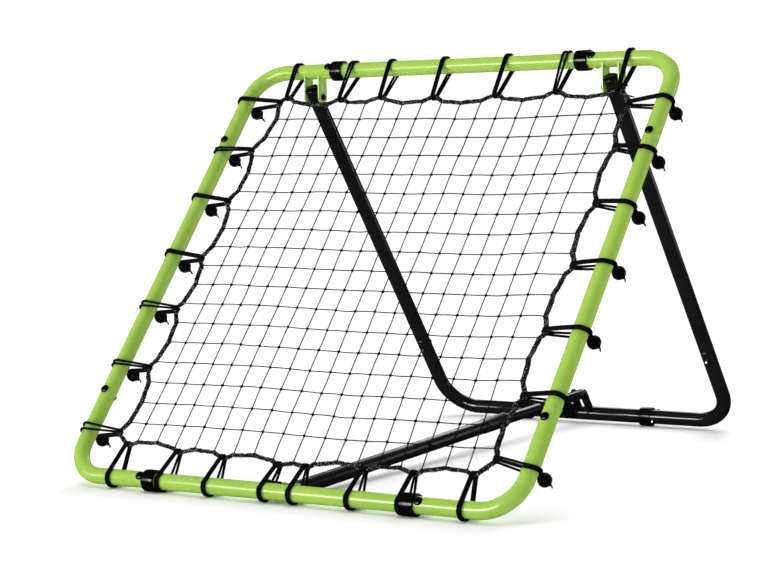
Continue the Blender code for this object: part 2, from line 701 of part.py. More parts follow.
def build_strut_outer():
    """The outer tube, closed at the bracket, and the bush in its mouth that guides the inner one."""
    closed = STRUT_CAP - STRUT_FRONT_END
    profile = [(0, closed), (STRUT_OUTER_BORE, closed), (STRUT_OUTER_BORE, STRUT_MOUTH),
               (STRUT_OUTER_RADIUS, STRUT_MOUTH), (STRUT_OUTER_RADIUS, -STRUT_FRONT_END),
               (0, -STRUT_FRONT_END - STRUT_CAP / 2)]
    piece = add_piece("strut_outer_tube", turned(profile, ROUND_SIDES), STRUT, "black_paint", ALONG_Y)
    hole = add_guide("strut_front_hole", hole_rod(PIVOT_RADIUS, STRUT_OUTER_DIAMETER), STRUT, ALONG_X)
    apply_boolean(piece, hole, "DIFFERENCE")
    bore = around(STRUT_INNER_RADIUS, ROUND_SIDES)
    flange = STRUT_MOUTH + GAP
    stem = STRUT_OUTER_BORE - GAP
    profile = [(bore, flange + BUSH_FLANGE), (STRUT_OUTER_RADIUS, flange + BUSH_FLANGE),
               (STRUT_OUTER_RADIUS, flange), (stem, flange), (stem, STRUT_MOUTH - BUSH_LENGTH),
               (bore, STRUT_MOUTH - BUSH_LENGTH)]
    add_piece("strut_guide_bush", turned(profile, ROUND_SIDES, ring=True), STRUT, "black_plastic", ALONG_Y)


def build_lock_sleeve():
    """A twist sleeve round the mouth of the outer tube, whose nose closes on the inner one."""
    inner = around(STRUT_OUTER_RADIUS, ROUND_SIDES)
    nose = around(STRUT_INNER_RADIUS, ROUND_SIDES)
    outer = inner + SLEEVE_WALL
    step = STRUT_MOUTH + 2 * GAP + BUSH_FLANGE
    tip = step + SLEEVE_NOSE
    low = tip - SLEEVE_LENGTH
    profile = [(nose, tip), (outer, tip), (outer, low), (inner, low), (inner, step), (nose, step)]
    add_piece("strut_lock_sleeve", turned(profile, ROUND_SIDES, ring=True), LOCK, "black_plastic", ALONG_Y)


def build_strut_inner():
    """The inner tube with its slider, its closed rear end and its stop bolt."""
    front = STRUT_MOUTH - STRUT_INSERTION
    rear = STRUT_LENGTH + STRUT_REAR_END
    slider = STRUT_OUTER_BORE - GAP
    profile = [(0, rear + STRUT_CAP / 2), (STRUT_INNER_RADIUS, rear), (STRUT_INNER_RADIUS, front),
               (slider, front), (slider, front - SLIDER_LENGTH), (STRUT_INNER_BORE, front - SLIDER_LENGTH),
               (STRUT_INNER_BORE, rear - STRUT_CAP), (0, rear - STRUT_CAP)]
    piece = add_piece("strut_inner_tube", turned(profile, ROUND_SIDES), SLIDE, "black_paint", ALONG_Y)
    pivot_hole = hole_rod(PIVOT_RADIUS + STRUT_PIVOT_PLAY, STRUT_INNER_DIAMETER)
    hole = add_guide("strut_rear_hole", pivot_hole, SLIDE, shift(y=STRUT_LENGTH) @ ALONG_X)
    apply_boolean(piece, hole, "DIFFERENCE")
    stop = through_bolt(BOLT_RADIUS, STRUT_INNER_RADIUS - HEAD_SINK)
    guide = add_guide("strut_stop_bolt", stop, SLIDE, shift(y=STRUT_LENGTH - STOP_BOLT_FROM_PIVOT))
    apply_boolean(piece, guide, "UNION")


clear_scene()
PARTS = new_collection("multisport_rebounder")
CUTTERS = new_collection("rebounder_cutters")
FRONT = new_empty("front_frame_axis", FRONT_TUBE, FRAME_LEAN)
REAR = new_empty("leg_hinge_axis", HINGE_POINT, LEG_ANGLE)
STRUT = new_empty("strut_front_axis", STRUT_FRONT, STRUT_TILT)
SLIDE = new_empty("strut_slide_axis", STRUT_FRONT, STRUT_TILT)
LOCK = new_empty("lock_sleeve_axis", STRUT_FRONT, STRUT_TILT)
TO_FRONT = (Matrix.Translation(FRONT_TUBE) @ Matrix.Rotation(FRAME_LEAN, 4, "X")).inverted()
HINGE_LOCAL = TO_FRONT @ HINGE_POINT
STRUT_FRONT_LOCAL = TO_FRONT @ STRUT_FRONT
BUNGEES = bungee_places()

build_front_frame()
build_rope()
build_net()
build_bungees()
build_rear_frame()
build_strut_outer()
build_lock_sleeve()
build_strut_inner()
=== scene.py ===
"""The looks of the multisport rebounder: paint, rope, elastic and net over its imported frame.

Metres, +Z up. Each piece is shaped in the axes of its own frame or tube and then put in place.
"""

from math import asin, atan2, copysign, cos, pi, radians, sin, sqrt, tan

import bmesh
import bpy
from mathutils import Matrix, Vector, noise


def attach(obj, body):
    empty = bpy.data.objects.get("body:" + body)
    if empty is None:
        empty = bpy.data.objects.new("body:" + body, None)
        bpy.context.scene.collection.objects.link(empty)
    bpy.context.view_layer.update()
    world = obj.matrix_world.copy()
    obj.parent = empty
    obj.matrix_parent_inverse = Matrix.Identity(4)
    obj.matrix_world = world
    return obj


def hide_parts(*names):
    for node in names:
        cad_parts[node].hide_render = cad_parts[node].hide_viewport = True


# Without a seed, noise_vector strays differently in every run
noise.seed_set(7)

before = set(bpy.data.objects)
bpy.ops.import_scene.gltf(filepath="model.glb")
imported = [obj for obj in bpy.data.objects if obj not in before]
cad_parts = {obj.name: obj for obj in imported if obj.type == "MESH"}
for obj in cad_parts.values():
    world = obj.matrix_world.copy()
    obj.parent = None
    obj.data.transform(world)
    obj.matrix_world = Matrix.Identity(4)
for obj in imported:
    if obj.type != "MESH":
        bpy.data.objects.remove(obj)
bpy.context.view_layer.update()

# Front frame, leaning back on its bottom tube
TUBE_RADIUS = 0.015
HALF_SPAN = 0.485
SPAN = 2 * HALF_SPAN
LEAN = radians(50.2)
FRONT_TUBE = Vector((0, -0.551821, 0.0203))
CORNER_RADIUS = 0.070
LEVEL_SEAM = 0.2835
SIDE_SEAM = 0.283
LEVEL_BOLT = 0.3050
SIDE_BOLTS = {"bottom": 0.306, "top": 0.301}

# Rear frame, hanging from the brackets under the top tube
HINGE = Vector((0, 0.069085, 0.713835))
LEG_ANGLE = 2.178867
LEG_LENGTH = 0.845
LEG_TOP = 0.021
LEG_ACROSS = 0.3458
LEG_SEAM = 0.200 - LEG_LENGTH
LEG_BOLT = LEG_SEAM - 0.0252
BASE_SEAM = 0.149
BASE_BOLT = 0.1680
REAR_CORNER_RADIUS = 0.075

# Strut between the two frames
STRUT_FRONT = Vector((0, -0.509809, 0.016329))
STRUT_TILT = 0.0451765
STRUT_LENGTH = 1.032977
STRUT_MOUTH = 0.715
OUTER_RADIUS = 0.014
INNER_RADIUS = 0.011
SLEEVE_RADIUS = 0.0150
SLEEVE_LOW = 0.6401
STOP_INSET = 0.065

# Collars, brackets and bolts
COLLAR_RADIUS = 0.0201
COLLAR_HALF_LENGTH = 0.0134
EAR_THICKNESS = 0.003
EAR_HALF_WIDTH = 0.014
EAR_SEAT = 0.0135
REAR_EAR_HALF_WIDTH = 0.0125
REAR_EAR_REACH = 0.052
HINGE_GAP = 0.0312
STRUT_FRONT_GAP = 0.0292
STRUT_REAR_GAP = 0.0232
WELD_TURN = radians(62)
JOINT_HEAD_RADIUS = 0.0081
JOINT_SHAFT = 0.003
PIVOT_HEAD_RADIUS = 0.0070
PIVOT_SHAFT = 0.004
STOP_HEAD_RADIUS = 0.0066
STOP_SHAFT = 0.003
REAR_HEAD_RADIUS = 0.0042
REAR_HEAD_HEIGHT = 0.0045
HEAD_HEIGHT = 0.0048
NUT_RADIUS = 0.0068
NUT_HEIGHT = 0.0074
JOINT_GRIP = TUBE_RADIUS - 0.0005
REAR_HEAD_SEAT = TUBE_RADIUS - 0.0004
STOP_GRIP = INNER_RADIUS - 0.0004
SEAM_GAP = 0.0003

# Net: its stretch off the square places is in millimetres, as terms of x up to the cube, each with
# its own terms of y, for the pull sideways and then for the pull upward
TWINES = 17
PITCH = 0.0452
TWINE_RADIUS = 0.0012
KNOT_TWINE = 0.00105
CROSSING_KNOT_RADIUS = 0.0019375
END_KNOT_RADIUS = 0.00225
NET_MIDDLE = 0.4825
NET_HALF = 0.36
NET_PULL = (((2.8, -0.4, 0.9, -3.3), (-6.8, 0.5, 7.7), (-2.1, 3.7), (-0.1,)),
            ((-6.6, -5.1, 0.9, 3.5), (-6.4, -2.5, 0.1), (3.0, 1.5), (3.8,)))

# Border rope
ROPE_RADIUS = 0.0042
STRAND_RADIUS = 0.0023
ROPE_STEP = 0.0017
PLAIT_LENGTH = 0.0165
SIDE_GIRTH = 0.32
TIE_PEAK = 0.0030
TIE_INSET = 0.0034
TIE_REACH = 0.09
ROPE_BOW = {"top": 0.125, "right": 0.110, "bottom": 0.098, "left": 0.140}
ROPE_ENDS = (((0.402, 0.084), (0.408, 0.076)), ((0.386, 0.897), (0.399, 0.903)),
             ((0.407, 0.879), (0.421, 0.873)), ((-0.409, 0.484), (-0.3935, 0.4705)))

# Bungees: place along the tube and depth of the loop's grip on the rope; how far it leans along the
# tube; how far its ball hangs off that; and how far apart its two strands lie in front and behind
CORD_RADIUS = 0.0024
BALL_RADIUS = 0.013
NUB_RADIUS = 0.0038
BUNGEES = {
    "top": [(-0.384, 0.064, 0.000, 0, 0.0034, 0.0026), (-0.248, 0.073, 0.003, 0, 0.0042, 0.0028),
            (-0.150, 0.070, -0.002, 0, 0.0026, 0.0042), (-0.024, 0.0755, -0.002, 0, 0.0026, 0.0036),
            (0.117, 0.0755, 0.002, 0, 0.0026, 0.0026), (0.249, 0.072, 0.000, 0, 0.0050, 0.0026),
            (0.384, 0.072, 0.000, 0, 0.0026, 0.0030)],
    "bottom": [(-0.379, 0.068, 0.000, 0, 0.0026, 0.0030), (-0.254, 0.061, -0.007, 0, 0.0026, 0.0058),
               (-0.148, 0.057, -0.004, 0, 0.0026, 0.0058), (-0.0205, 0.052, -0.006, 0, 0.0026, 0.0050),
               (0.0395, 0.052, -0.003, 0, 0.0026, 0.0058), (0.163, 0.056, -0.003, 0, 0.0026, 0.0058),
               (0.2655, 0.057, 0.000, 0, 0.0026, 0.0050), (0.383, 0.064, 0.006, 0, 0.0026, 0.0026)],
    "left": [(-0.390, 0.069, 0.000, -0.003, 0.0064, 0.0028), (-0.245, 0.066, 0.000, 0, 0.0040, 0.0028),
             (-0.108, 0.066, 0.000, 0, 0.0052, 0.0028), (0.0139, 0.068, 0.005, -0.005, 0.0028, 0.0028),
             (0.153, 0.068, 0.0045, -0.0045, 0.0026, 0.0028), (0.281, 0.067, -0.0067, 0.006, 0.0036, 0.0028),
             (0.405, 0.082, 0.002, -0.003, 0.0026, 0.0028)],
    "right": [(-0.3865, 0.068, -0.017, 0.006, 0.0026, 0.0040), (-0.261, 0.061, 0.000, 0, 0.0026, 0.0050),
              (-0.128, 0.066, 0.000, 0.005, 0.0026, 0.0050), (0.011, 0.059, 0.000, 0.012, 0.0026, 0.0050),
              (0.147, 0.060, -0.0075, 0.003, 0.0026, 0.0045), (0.273, 0.062, -0.0115, 0.005, 0.0026, 0.0036),
              (0.375, 0.067, 0.004, 0, 0.0026, 0.0045)],
}

# How the cord lies on the tube and the rope, and how it holds its ball
TUBE_WRAP = TUBE_RADIUS + SEAM_GAP + CORD_RADIUS
ROPE_WRAP = ROPE_RADIUS + SEAM_GAP + CORD_RADIUS
CORD_PAIR = CORD_RADIUS + 0.0001
HOOK_RADIUS = 0.0062
HOOK_LIFT = 0.0049
HOOK_RISE = 0.0063
BALL_SEAT = 0.0015
BESIDE_REACH = 0.0036
BRACKET_NUT = 0.0254
BALL_ANGLES = {"top": radians(52), "left": radians(105), "right": radians(77)}

# Signs of x and of height, and shares of a width
SIDES = {"left": -1, "right": 1}
ENDS = {"bottom": -1, "top": 1}
EVEN_SHARES = (-1, -0.5, 0, 0.5, 1)

# Axes of the frames and the strut
FRONT = Matrix.Translation(FRONT_TUBE) @ Matrix.Rotation(LEAN, 4, "X")
REAR = Matrix.Translation(HINGE) @ Matrix.Rotation(LEG_ANGLE, 4, "X")
STRUT = Matrix.Translation(STRUT_FRONT) @ Matrix.Rotation(STRUT_TILT, 4, "X")
ALONG_X = Matrix.Rotation(pi / 2, 4, "Y")
ALONG_Y = Matrix.Rotation(-pi / 2, 4, "X")
UPSIDE_DOWN = Matrix.Rotation(pi, 4, "X")
FACING_UP = Vector((0, 0, 1))


# Finishes

class Signal:
    """A number that varies over a surface, with the sums a pattern needs."""

    def __init__(self, finish, socket):
        self.finish, self.socket = finish, socket

    def _sum(self, operation, first, second=0):
        return self.finish.node("ShaderNodeMath", {"operation": operation}, {0: first, 1: second})

    def __add__(self, other):
        return self._sum("ADD", self, other)

    def __radd__(self, other):
        return self._sum("ADD", other, self)

    def __sub__(self, other):
        return self._sum("SUBTRACT", self, other)

    def __rsub__(self, other):
        return self._sum("SUBTRACT", other, self)

    def __mul__(self, other):
        return self._sum("MULTIPLY", self, other)

    def __rmul__(self, other):
        return self._sum("MULTIPLY", other, self)

    def wave(self):
        return self._sum("SINE", self)

    def size(self):
        return self._sum("ABSOLUTE", self)

    def power(self, exponent):
        return self._sum("POWER", self, exponent)

    def turn_from(self, other):
        return self._sum("ARCTAN2", self, other)


class Finish:
    """The shader of a material or of the studio's air, and the method that adds any other node."""

    def __init__(self, owner, shader, **constants):
        owner.use_nodes = True
        self.owner, self.tree = owner, owner.node_tree
        self.shader = self.tree.nodes[shader]
        for socket, value in constants.items():
            self.shader.inputs[socket.replace("_", " ")].default_value = value

    def node(self, kind, settings, values, output=0):
        """Adds a node: first its settings, then a value or a signal for each socket."""
        made = self.tree.nodes.new(kind)
        for name, value in settings.items():
            setattr(made, name, value)
        for name, value in values.items():
            if isinstance(value, Signal):
                self.tree.links.new(value.socket, made.inputs[name])
            else:
                made.inputs[name].default_value = value
        return Signal(self, made.outputs[output])

    def place(self):
        return self.node("ShaderNodeTexCoord", {}, {}, "Object")

    def parts(self, vector):
        """The three numbers of a vector."""
        first = self.node("ShaderNodeSeparateXYZ", {}, {"Vector": vector})
        return [Signal(self, socket) for socket in first.socket.node.outputs]

    def cord_place(self):
        """A place in a cord as if it lay straight, the turn round the cord and the way along it."""
        lay = self.node("ShaderNodeAttribute", {"attribute_name": "lay"}, {}, "Vector")
        x, y, along = self.parts(lay)
        return lay, y.turn_from(x), along

    def grain(self, place, scale, detail=2.0, roughness=0.5):
        return self.node("ShaderNodeTexNoise", {}, {
            "Vector": place, "Scale": scale, "Detail": detail, "Roughness": roughness})

    def range(self, value, low, high, to_low, to_high):
        return self.node("ShaderNodeMapRange", {}, {
            "Value": value, "From Min": low, "From Max": high, "To Min": to_low, "To Max": to_high})

    def blend(self, factor, first, second):
        return self.node("ShaderNodeMix", {"data_type": "RGBA"}, {0: factor, 6: first, 7: second}, 2)

    def bump(self, height, strength, distance):
        return self.node("ShaderNodeBump", {}, {
            "Height": height, "Strength": strength, "Distance": distance})

    def feed(self, socket, signal):
        self.tree.links.new(signal.socket, self.shader.inputs[socket])


def surface(name, **constants):
    return Finish(bpy.data.materials.new(name), "Principled BSDF", **constants)


def colour(red, green, blue):
    return (red, green, blue, 1)


def times(share, shade):
    """A colour made lighter or darker."""
    return colour(*(share * part for part in shade[:3]))


def powder_coat(name, light, dark, gloss, peel, **constants):
    """Sprayed and baked paint: orange peel, a faint cloudiness and small rubbed spots."""
    finish = surface(name, **constants)
    place = finish.place()
    cloud = finish.grain(place, 13, 4)
    rubbed = finish.grain(place, 70, 5, 0.65)
    skin = finish.grain(place, 520, 2)
    speck = finish.grain(place, 1500, 1)
    finish.feed("Base Color", finish.blend(finish.range(cloud, 0.30, 0.56, 0, 1), dark, light))
    finish.feed("Roughness", finish.range(rubbed, 0.35, 0.75, gloss, gloss + 0.10))
    finish.feed("Normal", finish.bump(skin + 0.35 * speck, peel, 0.0004))
    return finish.owner


def moulded(name, shade, gloss, texture, scale, shine):
    """Black moulded plastic with a fine spark-eroded texture and handling marks."""
    finish = surface(name, Specular_IOR_Level=shine)
    place = finish.place()
    fine = finish.grain(place, scale, 3, 0.6)
    marks = finish.grain(place, 45, 6, 0.7)
    worn = finish.range(marks, 0.4, 0.75, 0, 1)
    finish.feed("Base Color", finish.blend(worn, shade, times(2.2, shade)))
    finish.feed("Roughness", finish.range(marks, 0.35, 0.7, gloss, gloss + 0.18))
    finish.feed("Normal", finish.bump(fine, texture, 0.0003))
    return finish.owner


def plated(name, shade, gloss, metallic):
    """A turned and plated fastener, with fine turning marks and a little dust."""
    finish = surface(name, Metallic=metallic)
    place = finish.place()
    dust = finish.grain(place, 260, 4, 0.6)
    fine = finish.grain(place, 2200, 2)
    dusty = finish.range(dust, 0.45, 0.8, 0, 1)
    finish.feed("Base Color", finish.blend(dusty, shade, times(0.75, shade)))
    finish.feed("Roughness", finish.range(dust, 0.3, 0.7, gloss, gloss + 0.15))
    finish.feed("Normal", finish.bump(fine, 0.12, 0.0001))
    return finish.owner


def laid_cord(name, shade, fleck, strands, lay_length, depth, fuzz):
    """Twisted cord: its strands run slantwise round it, with loose fibres and light flecks."""
    finish = surface(name, Specular_IOR_Level=0.03)
    lay, turn, along = finish.cord_place()
    groove = (strands * turn + (2 * pi * strands / lay_length) * along).wave().size()
    fibre = finish.grain(lay, 2600, 3, 0.6)
    light = finish.grain(lay, 420, 3, 0.7)
    finish.feed("Base Color", finish.blend(
        finish.range(light * (0.55 + 0.45 * groove), 0.52, 0.64, 0, 1), shade, fleck))
    finish.feed("Roughness", finish.range(fibre, 0.3, 0.7, 0.6, 0.95))
    finish.feed("Normal", finish.bump(groove.power(0.6) + fuzz * fibre, 0.9, depth))
    return finish.owner


def woven_sheath(name, shade, worn, carriers, pick, depth):
    """Elastic cord in a braided sheath: two sets of yarns cross slantwise round it."""
    finish = surface(name, Specular_IOR_Level=0.04)
    lay, turn, along = finish.cord_place()
    run = (2 * pi / pick) * along
    left = (carriers * turn + run).wave()
    right = (carriers * turn - run).wave()
    yarn = (left * right).size()
    fibre = finish.grain(lay, 3000, 2)
    rub = finish.grain(lay, 160, 4, 0.65)
    finish.feed("Base Color", finish.blend(
        finish.range(rub * (0.6 + 0.4 * yarn), 0.42, 0.75, 0, 1), shade, worn))
    finish.feed("Roughness", finish.range(rub + 0.3 * fibre, 0.4, 0.9, 0.5, 0.8))
    finish.feed("Normal", finish.bump(yarn.power(0.5) + 0.2 * fibre, 0.8, depth))
    return finish.owner


LIME = powder_coat("lime_powder_coat", colour(0.352, 0.562, 0.086), colour(0.324, 0.526, 0.075),
                   0.22, 0.006, Specular_IOR_Level=0.25, Coat_Weight=0.12, Coat_Roughness=0.05)
SATIN = powder_coat("black_powder_coat", colour(0.0092, 0.0090, 0.0087), colour(0.0066, 0.0065, 0.0063),
                    0.09, 0.006, Specular_IOR_Level=0.35)
STRUT_PAINT = powder_coat("strut_black_paint", colour(0.0070, 0.0070, 0.0070),
                          colour(0.0048, 0.0048, 0.0048), 0.20, 0.008, Specular_IOR_Level=0.22)
CLIP = moulded("black_clip_plastic", colour(0.0022, 0.0022, 0.0024), 0.07, 0.02, 900, 0.18)
GRIP = moulded("black_grip_plastic", colour(0.0050, 0.0050, 0.0052), 0.22, 0.05, 1400, 0.20)
RUBBER = moulded("black_ball_plastic", colour(0.0024, 0.0024, 0.0026), 0.22, 0.20, 700, 0.14)
BLACK_STEEL = plated("black_plated_steel", colour(0.010, 0.010, 0.011), 0.10, 0.85)
BRIGHT_STEEL = plated("bright_zinc_steel", colour(0.86, 0.86, 0.88), 0.22, 1.0)
TWINE_FINISH = laid_cord("black_net_twine", colour(0.0020, 0.0020, 0.0023), colour(0.05, 0.05, 0.053),
                         1.5, 0.0042, 0.0003, 0.4)
ROPE_FINISH = laid_cord("black_border_rope", colour(0.0024, 0.0024, 0.0027), colour(0.58, 0.58, 0.59),
                        2.0, 0.0085, 0.0005, 0.5)
ELASTIC = woven_sheath("black_elastic_cord", colour(0.0022, 0.0022, 0.0024), colour(0.014, 0.014, 0.0145),
                       6, 0.0030, 0.00025)


# Shapes

def merged(*shapes):
    """One shape from several, which are used up."""
    whole = shapes[0]
    for shape in shapes[1:]:
        held = bpy.data.meshes.new("held")
        shape.to_mesh(held)
        shape.free()
        whole.from_mesh(held)
        bpy.data.meshes.remove(held)
    return whole


def moved(shape, place):
    bmesh.ops.transform(shape, matrix=place, verts=shape.verts)
    return shape


def shift(x=0.0, y=0.0, z=0.0):
    return Matrix.Translation((x, y, z))


def frames_along(points, radii, sideways):
    """At each point: across, up and onward, scaled to the radius, and carried on without a twist."""
    last = len(points) - 1
    frames = []
    for number, (point, radius) in enumerate(zip(points, radii)):
        onward = (points[min(number + 1, last)] - points[max(number - 1, 0)]).normalized()
        sideways = (sideways - sideways.dot(onward) * onward).normalized()
        turn = Matrix((radius * sideways, radius * onward.cross(sideways), onward)).transposed()
        frames.append(Matrix.Translation(point) @ turn.to_4x4())
    return frames


def swept(points, radii, sides, sideways, capped=True):
    """A round run along its points. "lay" is each corner's place as if the run lay straight."""
    shape = bmesh.new()
    lay = shape.verts.layers.float_vector.new("lay")
    frames = frames_along(points, radii, sideways)
    ring = bmesh.ops.create_circle(shape, segments=sides, radius=1)["verts"]
    for corner in ring:
        corner[lay] = (corner.co.x * radii[0], corner.co.y * radii[0], 0)
    bmesh.ops.transform(shape, matrix=frames[0], verts=ring)
    edges, along = shape.edges[:], 0.0
    for number in range(1, len(points)):
        made = bmesh.ops.extrude_edge_only(shape, edges=edges)["geom"]
        ring = [item for item in made if isinstance(item, bmesh.types.BMVert)]
        edges = [item for item in made if isinstance(item, bmesh.types.BMEdge)]
        bmesh.ops.transform(shape, matrix=frames[number] @ frames[number - 1].inverted(), verts=ring)
        along += (points[number] - points[number - 1]).length
        for corner in ring:
            corner[lay].z = along
    if capped:
        bmesh.ops.holes_fill(shape, edges=shape.edges)
    bmesh.ops.recalc_face_normals(shape, faces=shape.faces)
    return shape


def turned(profile, sides=40):
    """A profile of (radius, height) spun about Z."""
    shape = bmesh.new()
    corners = [shape.verts.new((radius, 0, height)) for radius, height in profile]
    edges = [shape.edges.new(pair) for pair in zip(corners, corners[1:])]
    bmesh.ops.spin(shape, geom=corners + edges, axis=FACING_UP, cent=(0, 0, 0),
                   angle=2 * pi, steps=sides, use_merge=True)
    bmesh.ops.remove_doubles(shape, verts=shape.verts, dist=0.00002)
    bmesh.ops.recalc_face_normals(shape, faces=shape.faces)
    return shape


def arc(centre, radius, first, last, steps):
    """Points of an arc in the XY plane, from the first angle to the last."""
    step = (last - first) / steps
    return [Vector((centre[0] + radius * cos(first + i * step),
                    centre[1] + radius * sin(first + i * step), 0)) for i in range(steps + 1)]


def bend(start, corner, stop, radius, steps):
    """Points from start to stop, with a round bend at the corner."""
    first, second = (start - corner).normalized(), (stop - corner).normalized()
    turn = pi - first.angle(second)
    inset = radius * tan(turn / 2)
    centre = corner + (first + second).normalized() * radius / cos(turn / 2)
    entry, leave = corner + first * inset - centre, corner + second * inset - centre
    return [centre + (entry * sin(turn - a) + leave * sin(a)) / sin(turn)
            for a in (turn * i / steps for i in range(steps + 1))]


def show(name, shape, place, body, slot, nodes, *finishes, crease=35):
    """Puts a finished shape in place as a piece that rides on a body and stands for CAD nodes."""
    moved(shape, place)
    data = bpy.data.meshes.new(name)
    shape.to_mesh(data)
    shape.free()
    for finish in finishes:
        data.materials.append(finish)
    data.shade_smooth()
    data.set_sharp_from_angle(angle=radians(crease))
    piece = bpy.data.objects.new(name, data)
    bpy.context.scene.collection.objects.link(piece)
    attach(piece, body)
    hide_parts(*nodes)


# Steel tubes

# The ends of a tube, as steps along it and how much wider it is there: a neck goes into another tube,
# and a lip stands open
TUBE_ENDS = {"neck": ((-0.0034, 0), (-0.0020, -0.0004), (-0.0006, -0.0011), (0.0060, -0.0018)),
             "lip": ((-0.0022, 0), (-0.0016, 0.0003), (-0.0005, 0.0003), (-0.0001, -0.0001),
                     (0.0, -0.0006), (-0.0004, -0.0014))}


def finished_ends(points, radius, ends):
    """The points and radii of a tube, with a neck or a lip at each end."""
    radii = [radius] * len(points)
    for end, kind in zip((0, -1), ends):
        tip, inner = points[end], points[1 if end == 0 else -2]
        onward = (tip - inner).normalized()
        run = [(tip + along * onward, radius + wider) for along, wider in TUBE_ENDS[kind]]
        if end == 0:
            run.reverse()
            points = [place for place, size in run] + points[1:]
            radii = [size for place, size in run] + radii[1:]
        else:
            points = points[:-1] + [place for place, size in run]
            radii = radii[:-1] + [size for place, size in run]
    return points, radii


def steel_tube(points, *ends):
    points, radii = finished_ends(points, TUBE_RADIUS, ends)
    return swept(points, radii, 48, FACING_UP, capped=False)


# Brackets, bolts and collars

def ear(reach, half_width):
    """A bracket's ear: its foot on the tube, its round end about the pin, with eased edges."""
    shape = bmesh.new()
    outline = bmesh.ops.create_circle(shape, cap_ends=True, segments=40, radius=half_width)["verts"]
    for corner in outline:
        if corner.co.x < -0.0001:
            corner.co = Vector((0, half_width if corner.co.y > 0 else -half_width, 0))
            corner.co.x = -(reach - sqrt(max(EAR_SEAT ** 2 - half_width ** 2, 0)))
        corner.co.x += reach
    bmesh.ops.remove_doubles(shape, verts=shape.verts, dist=0.00001)
    made = bmesh.ops.extrude_face_region(shape, geom=shape.faces[:])["geom"]
    top = [item for item in made if isinstance(item, bmesh.types.BMVert)]
    bmesh.ops.translate(shape, verts=top, vec=(0, 0, EAR_THICKNESS))
    bmesh.ops.translate(shape, verts=shape.verts, vec=(0, 0, -EAR_THICKNESS / 2))
    bmesh.ops.recalc_face_normals(shape, faces=shape.faces)
    rim = [edge for edge in shape.edges if abs(edge.verts[0].co.z - edge.verts[1].co.z) < 0.0001]
    bmesh.ops.bevel(shape, geom=rim, offset=0.0006, offset_type="OFFSET", segments=2, profile=0.5,
                    affect="EDGES", material=-1)
    return shape


def weld_bead(x, aim):
    """The bead along the foot of an ear."""
    last = 12
    points = []
    for i in range(last + 1):
        turn = Matrix.Rotation((2 * i / last - 1) * WELD_TURN, 3, "X")
        points.append(Vector((x, 0, 0)) + turn @ (aim * (TUBE_RADIUS + 0.0002)))
    radii = [0.0011 + 0.0003 * sin(2.3 * i) for i in range(last + 1)]
    return swept(points, radii, 10, Vector((1, 0, 0)))


def bracket(reach, half_width, gap, aim):
    """Two ears a gap apart along X, reaching out from a tube to their pin, each with its weld."""
    turn = Matrix((aim, Vector((0, -aim.z, aim.y)), (1, 0, 0))).transposed().to_4x4()
    offset = (gap + EAR_THICKNESS) / 2
    ears = [moved(ear(reach, half_width), shift(x=x) @ turn) for x in (-offset, offset)]
    welds = [weld_bead(side * (offset + EAR_THICKNESS / 2), aim) for side in (-1, 1)]
    return merged(*ears, *welds)


def dome(radius, height, base):
    """A button head on a thin rim, standing on its base height."""
    steps = 9
    crown = [(radius * cos(a), base + 0.0008 + (height - 0.0008) * sin(a))
             for a in (pi / 2 * i / steps for i in range(steps + 1))]
    crown[-1] = (0, base + height)
    return turned([(0, base), (radius * 0.98, base), (radius, base + 0.0003), *crown])


def cap_nut(radius, height, base):
    """A closed nut: a hexagon with eased corners under a small dome."""
    hexagon = bmesh.new()
    bmesh.ops.create_circle(hexagon, cap_ends=True, segments=6, radius=radius)
    made = bmesh.ops.extrude_face_region(hexagon, geom=hexagon.faces[:])["geom"]
    top = [item for item in made if isinstance(item, bmesh.types.BMVert)]
    bmesh.ops.translate(hexagon, verts=top, vec=(0, 0, height * 0.5))
    bmesh.ops.recalc_face_normals(hexagon, faces=hexagon.faces)
    bmesh.ops.bevel(hexagon, geom=hexagon.edges[:], offset=0.0005, offset_type="OFFSET", segments=2,
                    profile=0.5, affect="EDGES", material=-1)
    moved(hexagon, shift(z=base))
    return merged(hexagon, dome(radius * 0.78, height * 0.55, base + height * 0.45))


def through_bolt(half_grip, head, nut, shaft):
    """A domed bolt through its grip, with its closed nut on the far side."""
    shank = turned([(0, half_grip), (shaft, half_grip), (shaft, -half_grip), (0, -half_grip)], 20)
    far_nut = moved(cap_nut(nut, NUT_HEIGHT, half_grip), UPSIDE_DOWN)
    return merged(dome(head, HEAD_HEIGHT, half_grip), shank, far_nut)


def pivot_bolt(gap):
    """The bolt along X that a bracket's two ears hold."""
    half_grip = gap / 2 + EAR_THICKNESS + SEAM_GAP
    return moved(through_bolt(half_grip, PIVOT_HEAD_RADIUS, NUT_RADIUS, PIVOT_SHAFT), ALONG_X)


def collar():
    """A moulded ring along X round a seam, with rounded lips and a raised middle band."""
    inner, half = TUBE_RADIUS + SEAM_GAP, COLLAR_HALF_LENGTH
    lower = [(inner, -half + 0.0006), (inner + 0.0007, -half), (COLLAR_RADIUS - 0.0012, -half),
             (COLLAR_RADIUS - 0.0003, -half + 0.0006), (COLLAR_RADIUS - 0.0001, -half + 0.0014),
             (COLLAR_RADIUS - 0.0001, -half + 0.0050), (COLLAR_RADIUS, -half + 0.0056)]
    upper = [(radius, -height) for radius, height in reversed(lower)]
    return moved(turned([*lower, *upper, lower[0]], 64), ALONG_X)


# Front frame

def level_tube(end, y):
    run = [Vector((share * LEVEL_SEAM, HALF_SPAN * (1 + y), 0)) for share in EVEN_SHARES]
    show(f"{end}_tube", steel_tube(run, "neck", "neck"), FRONT, "front_frame", "green_tube",
         [f"frame_{end}_tube"], LIME)


def side_tube(side, x):
    run = [Vector((x * HALF_SPAN, HALF_SPAN + share * SIDE_SEAM, 0)) for share in EVEN_SHARES]
    show(f"{side}_tube", steel_tube(run, "neck", "neck"), FRONT, "front_frame", "green_tube",
         [f"frame_{side}_tube"], LIME)


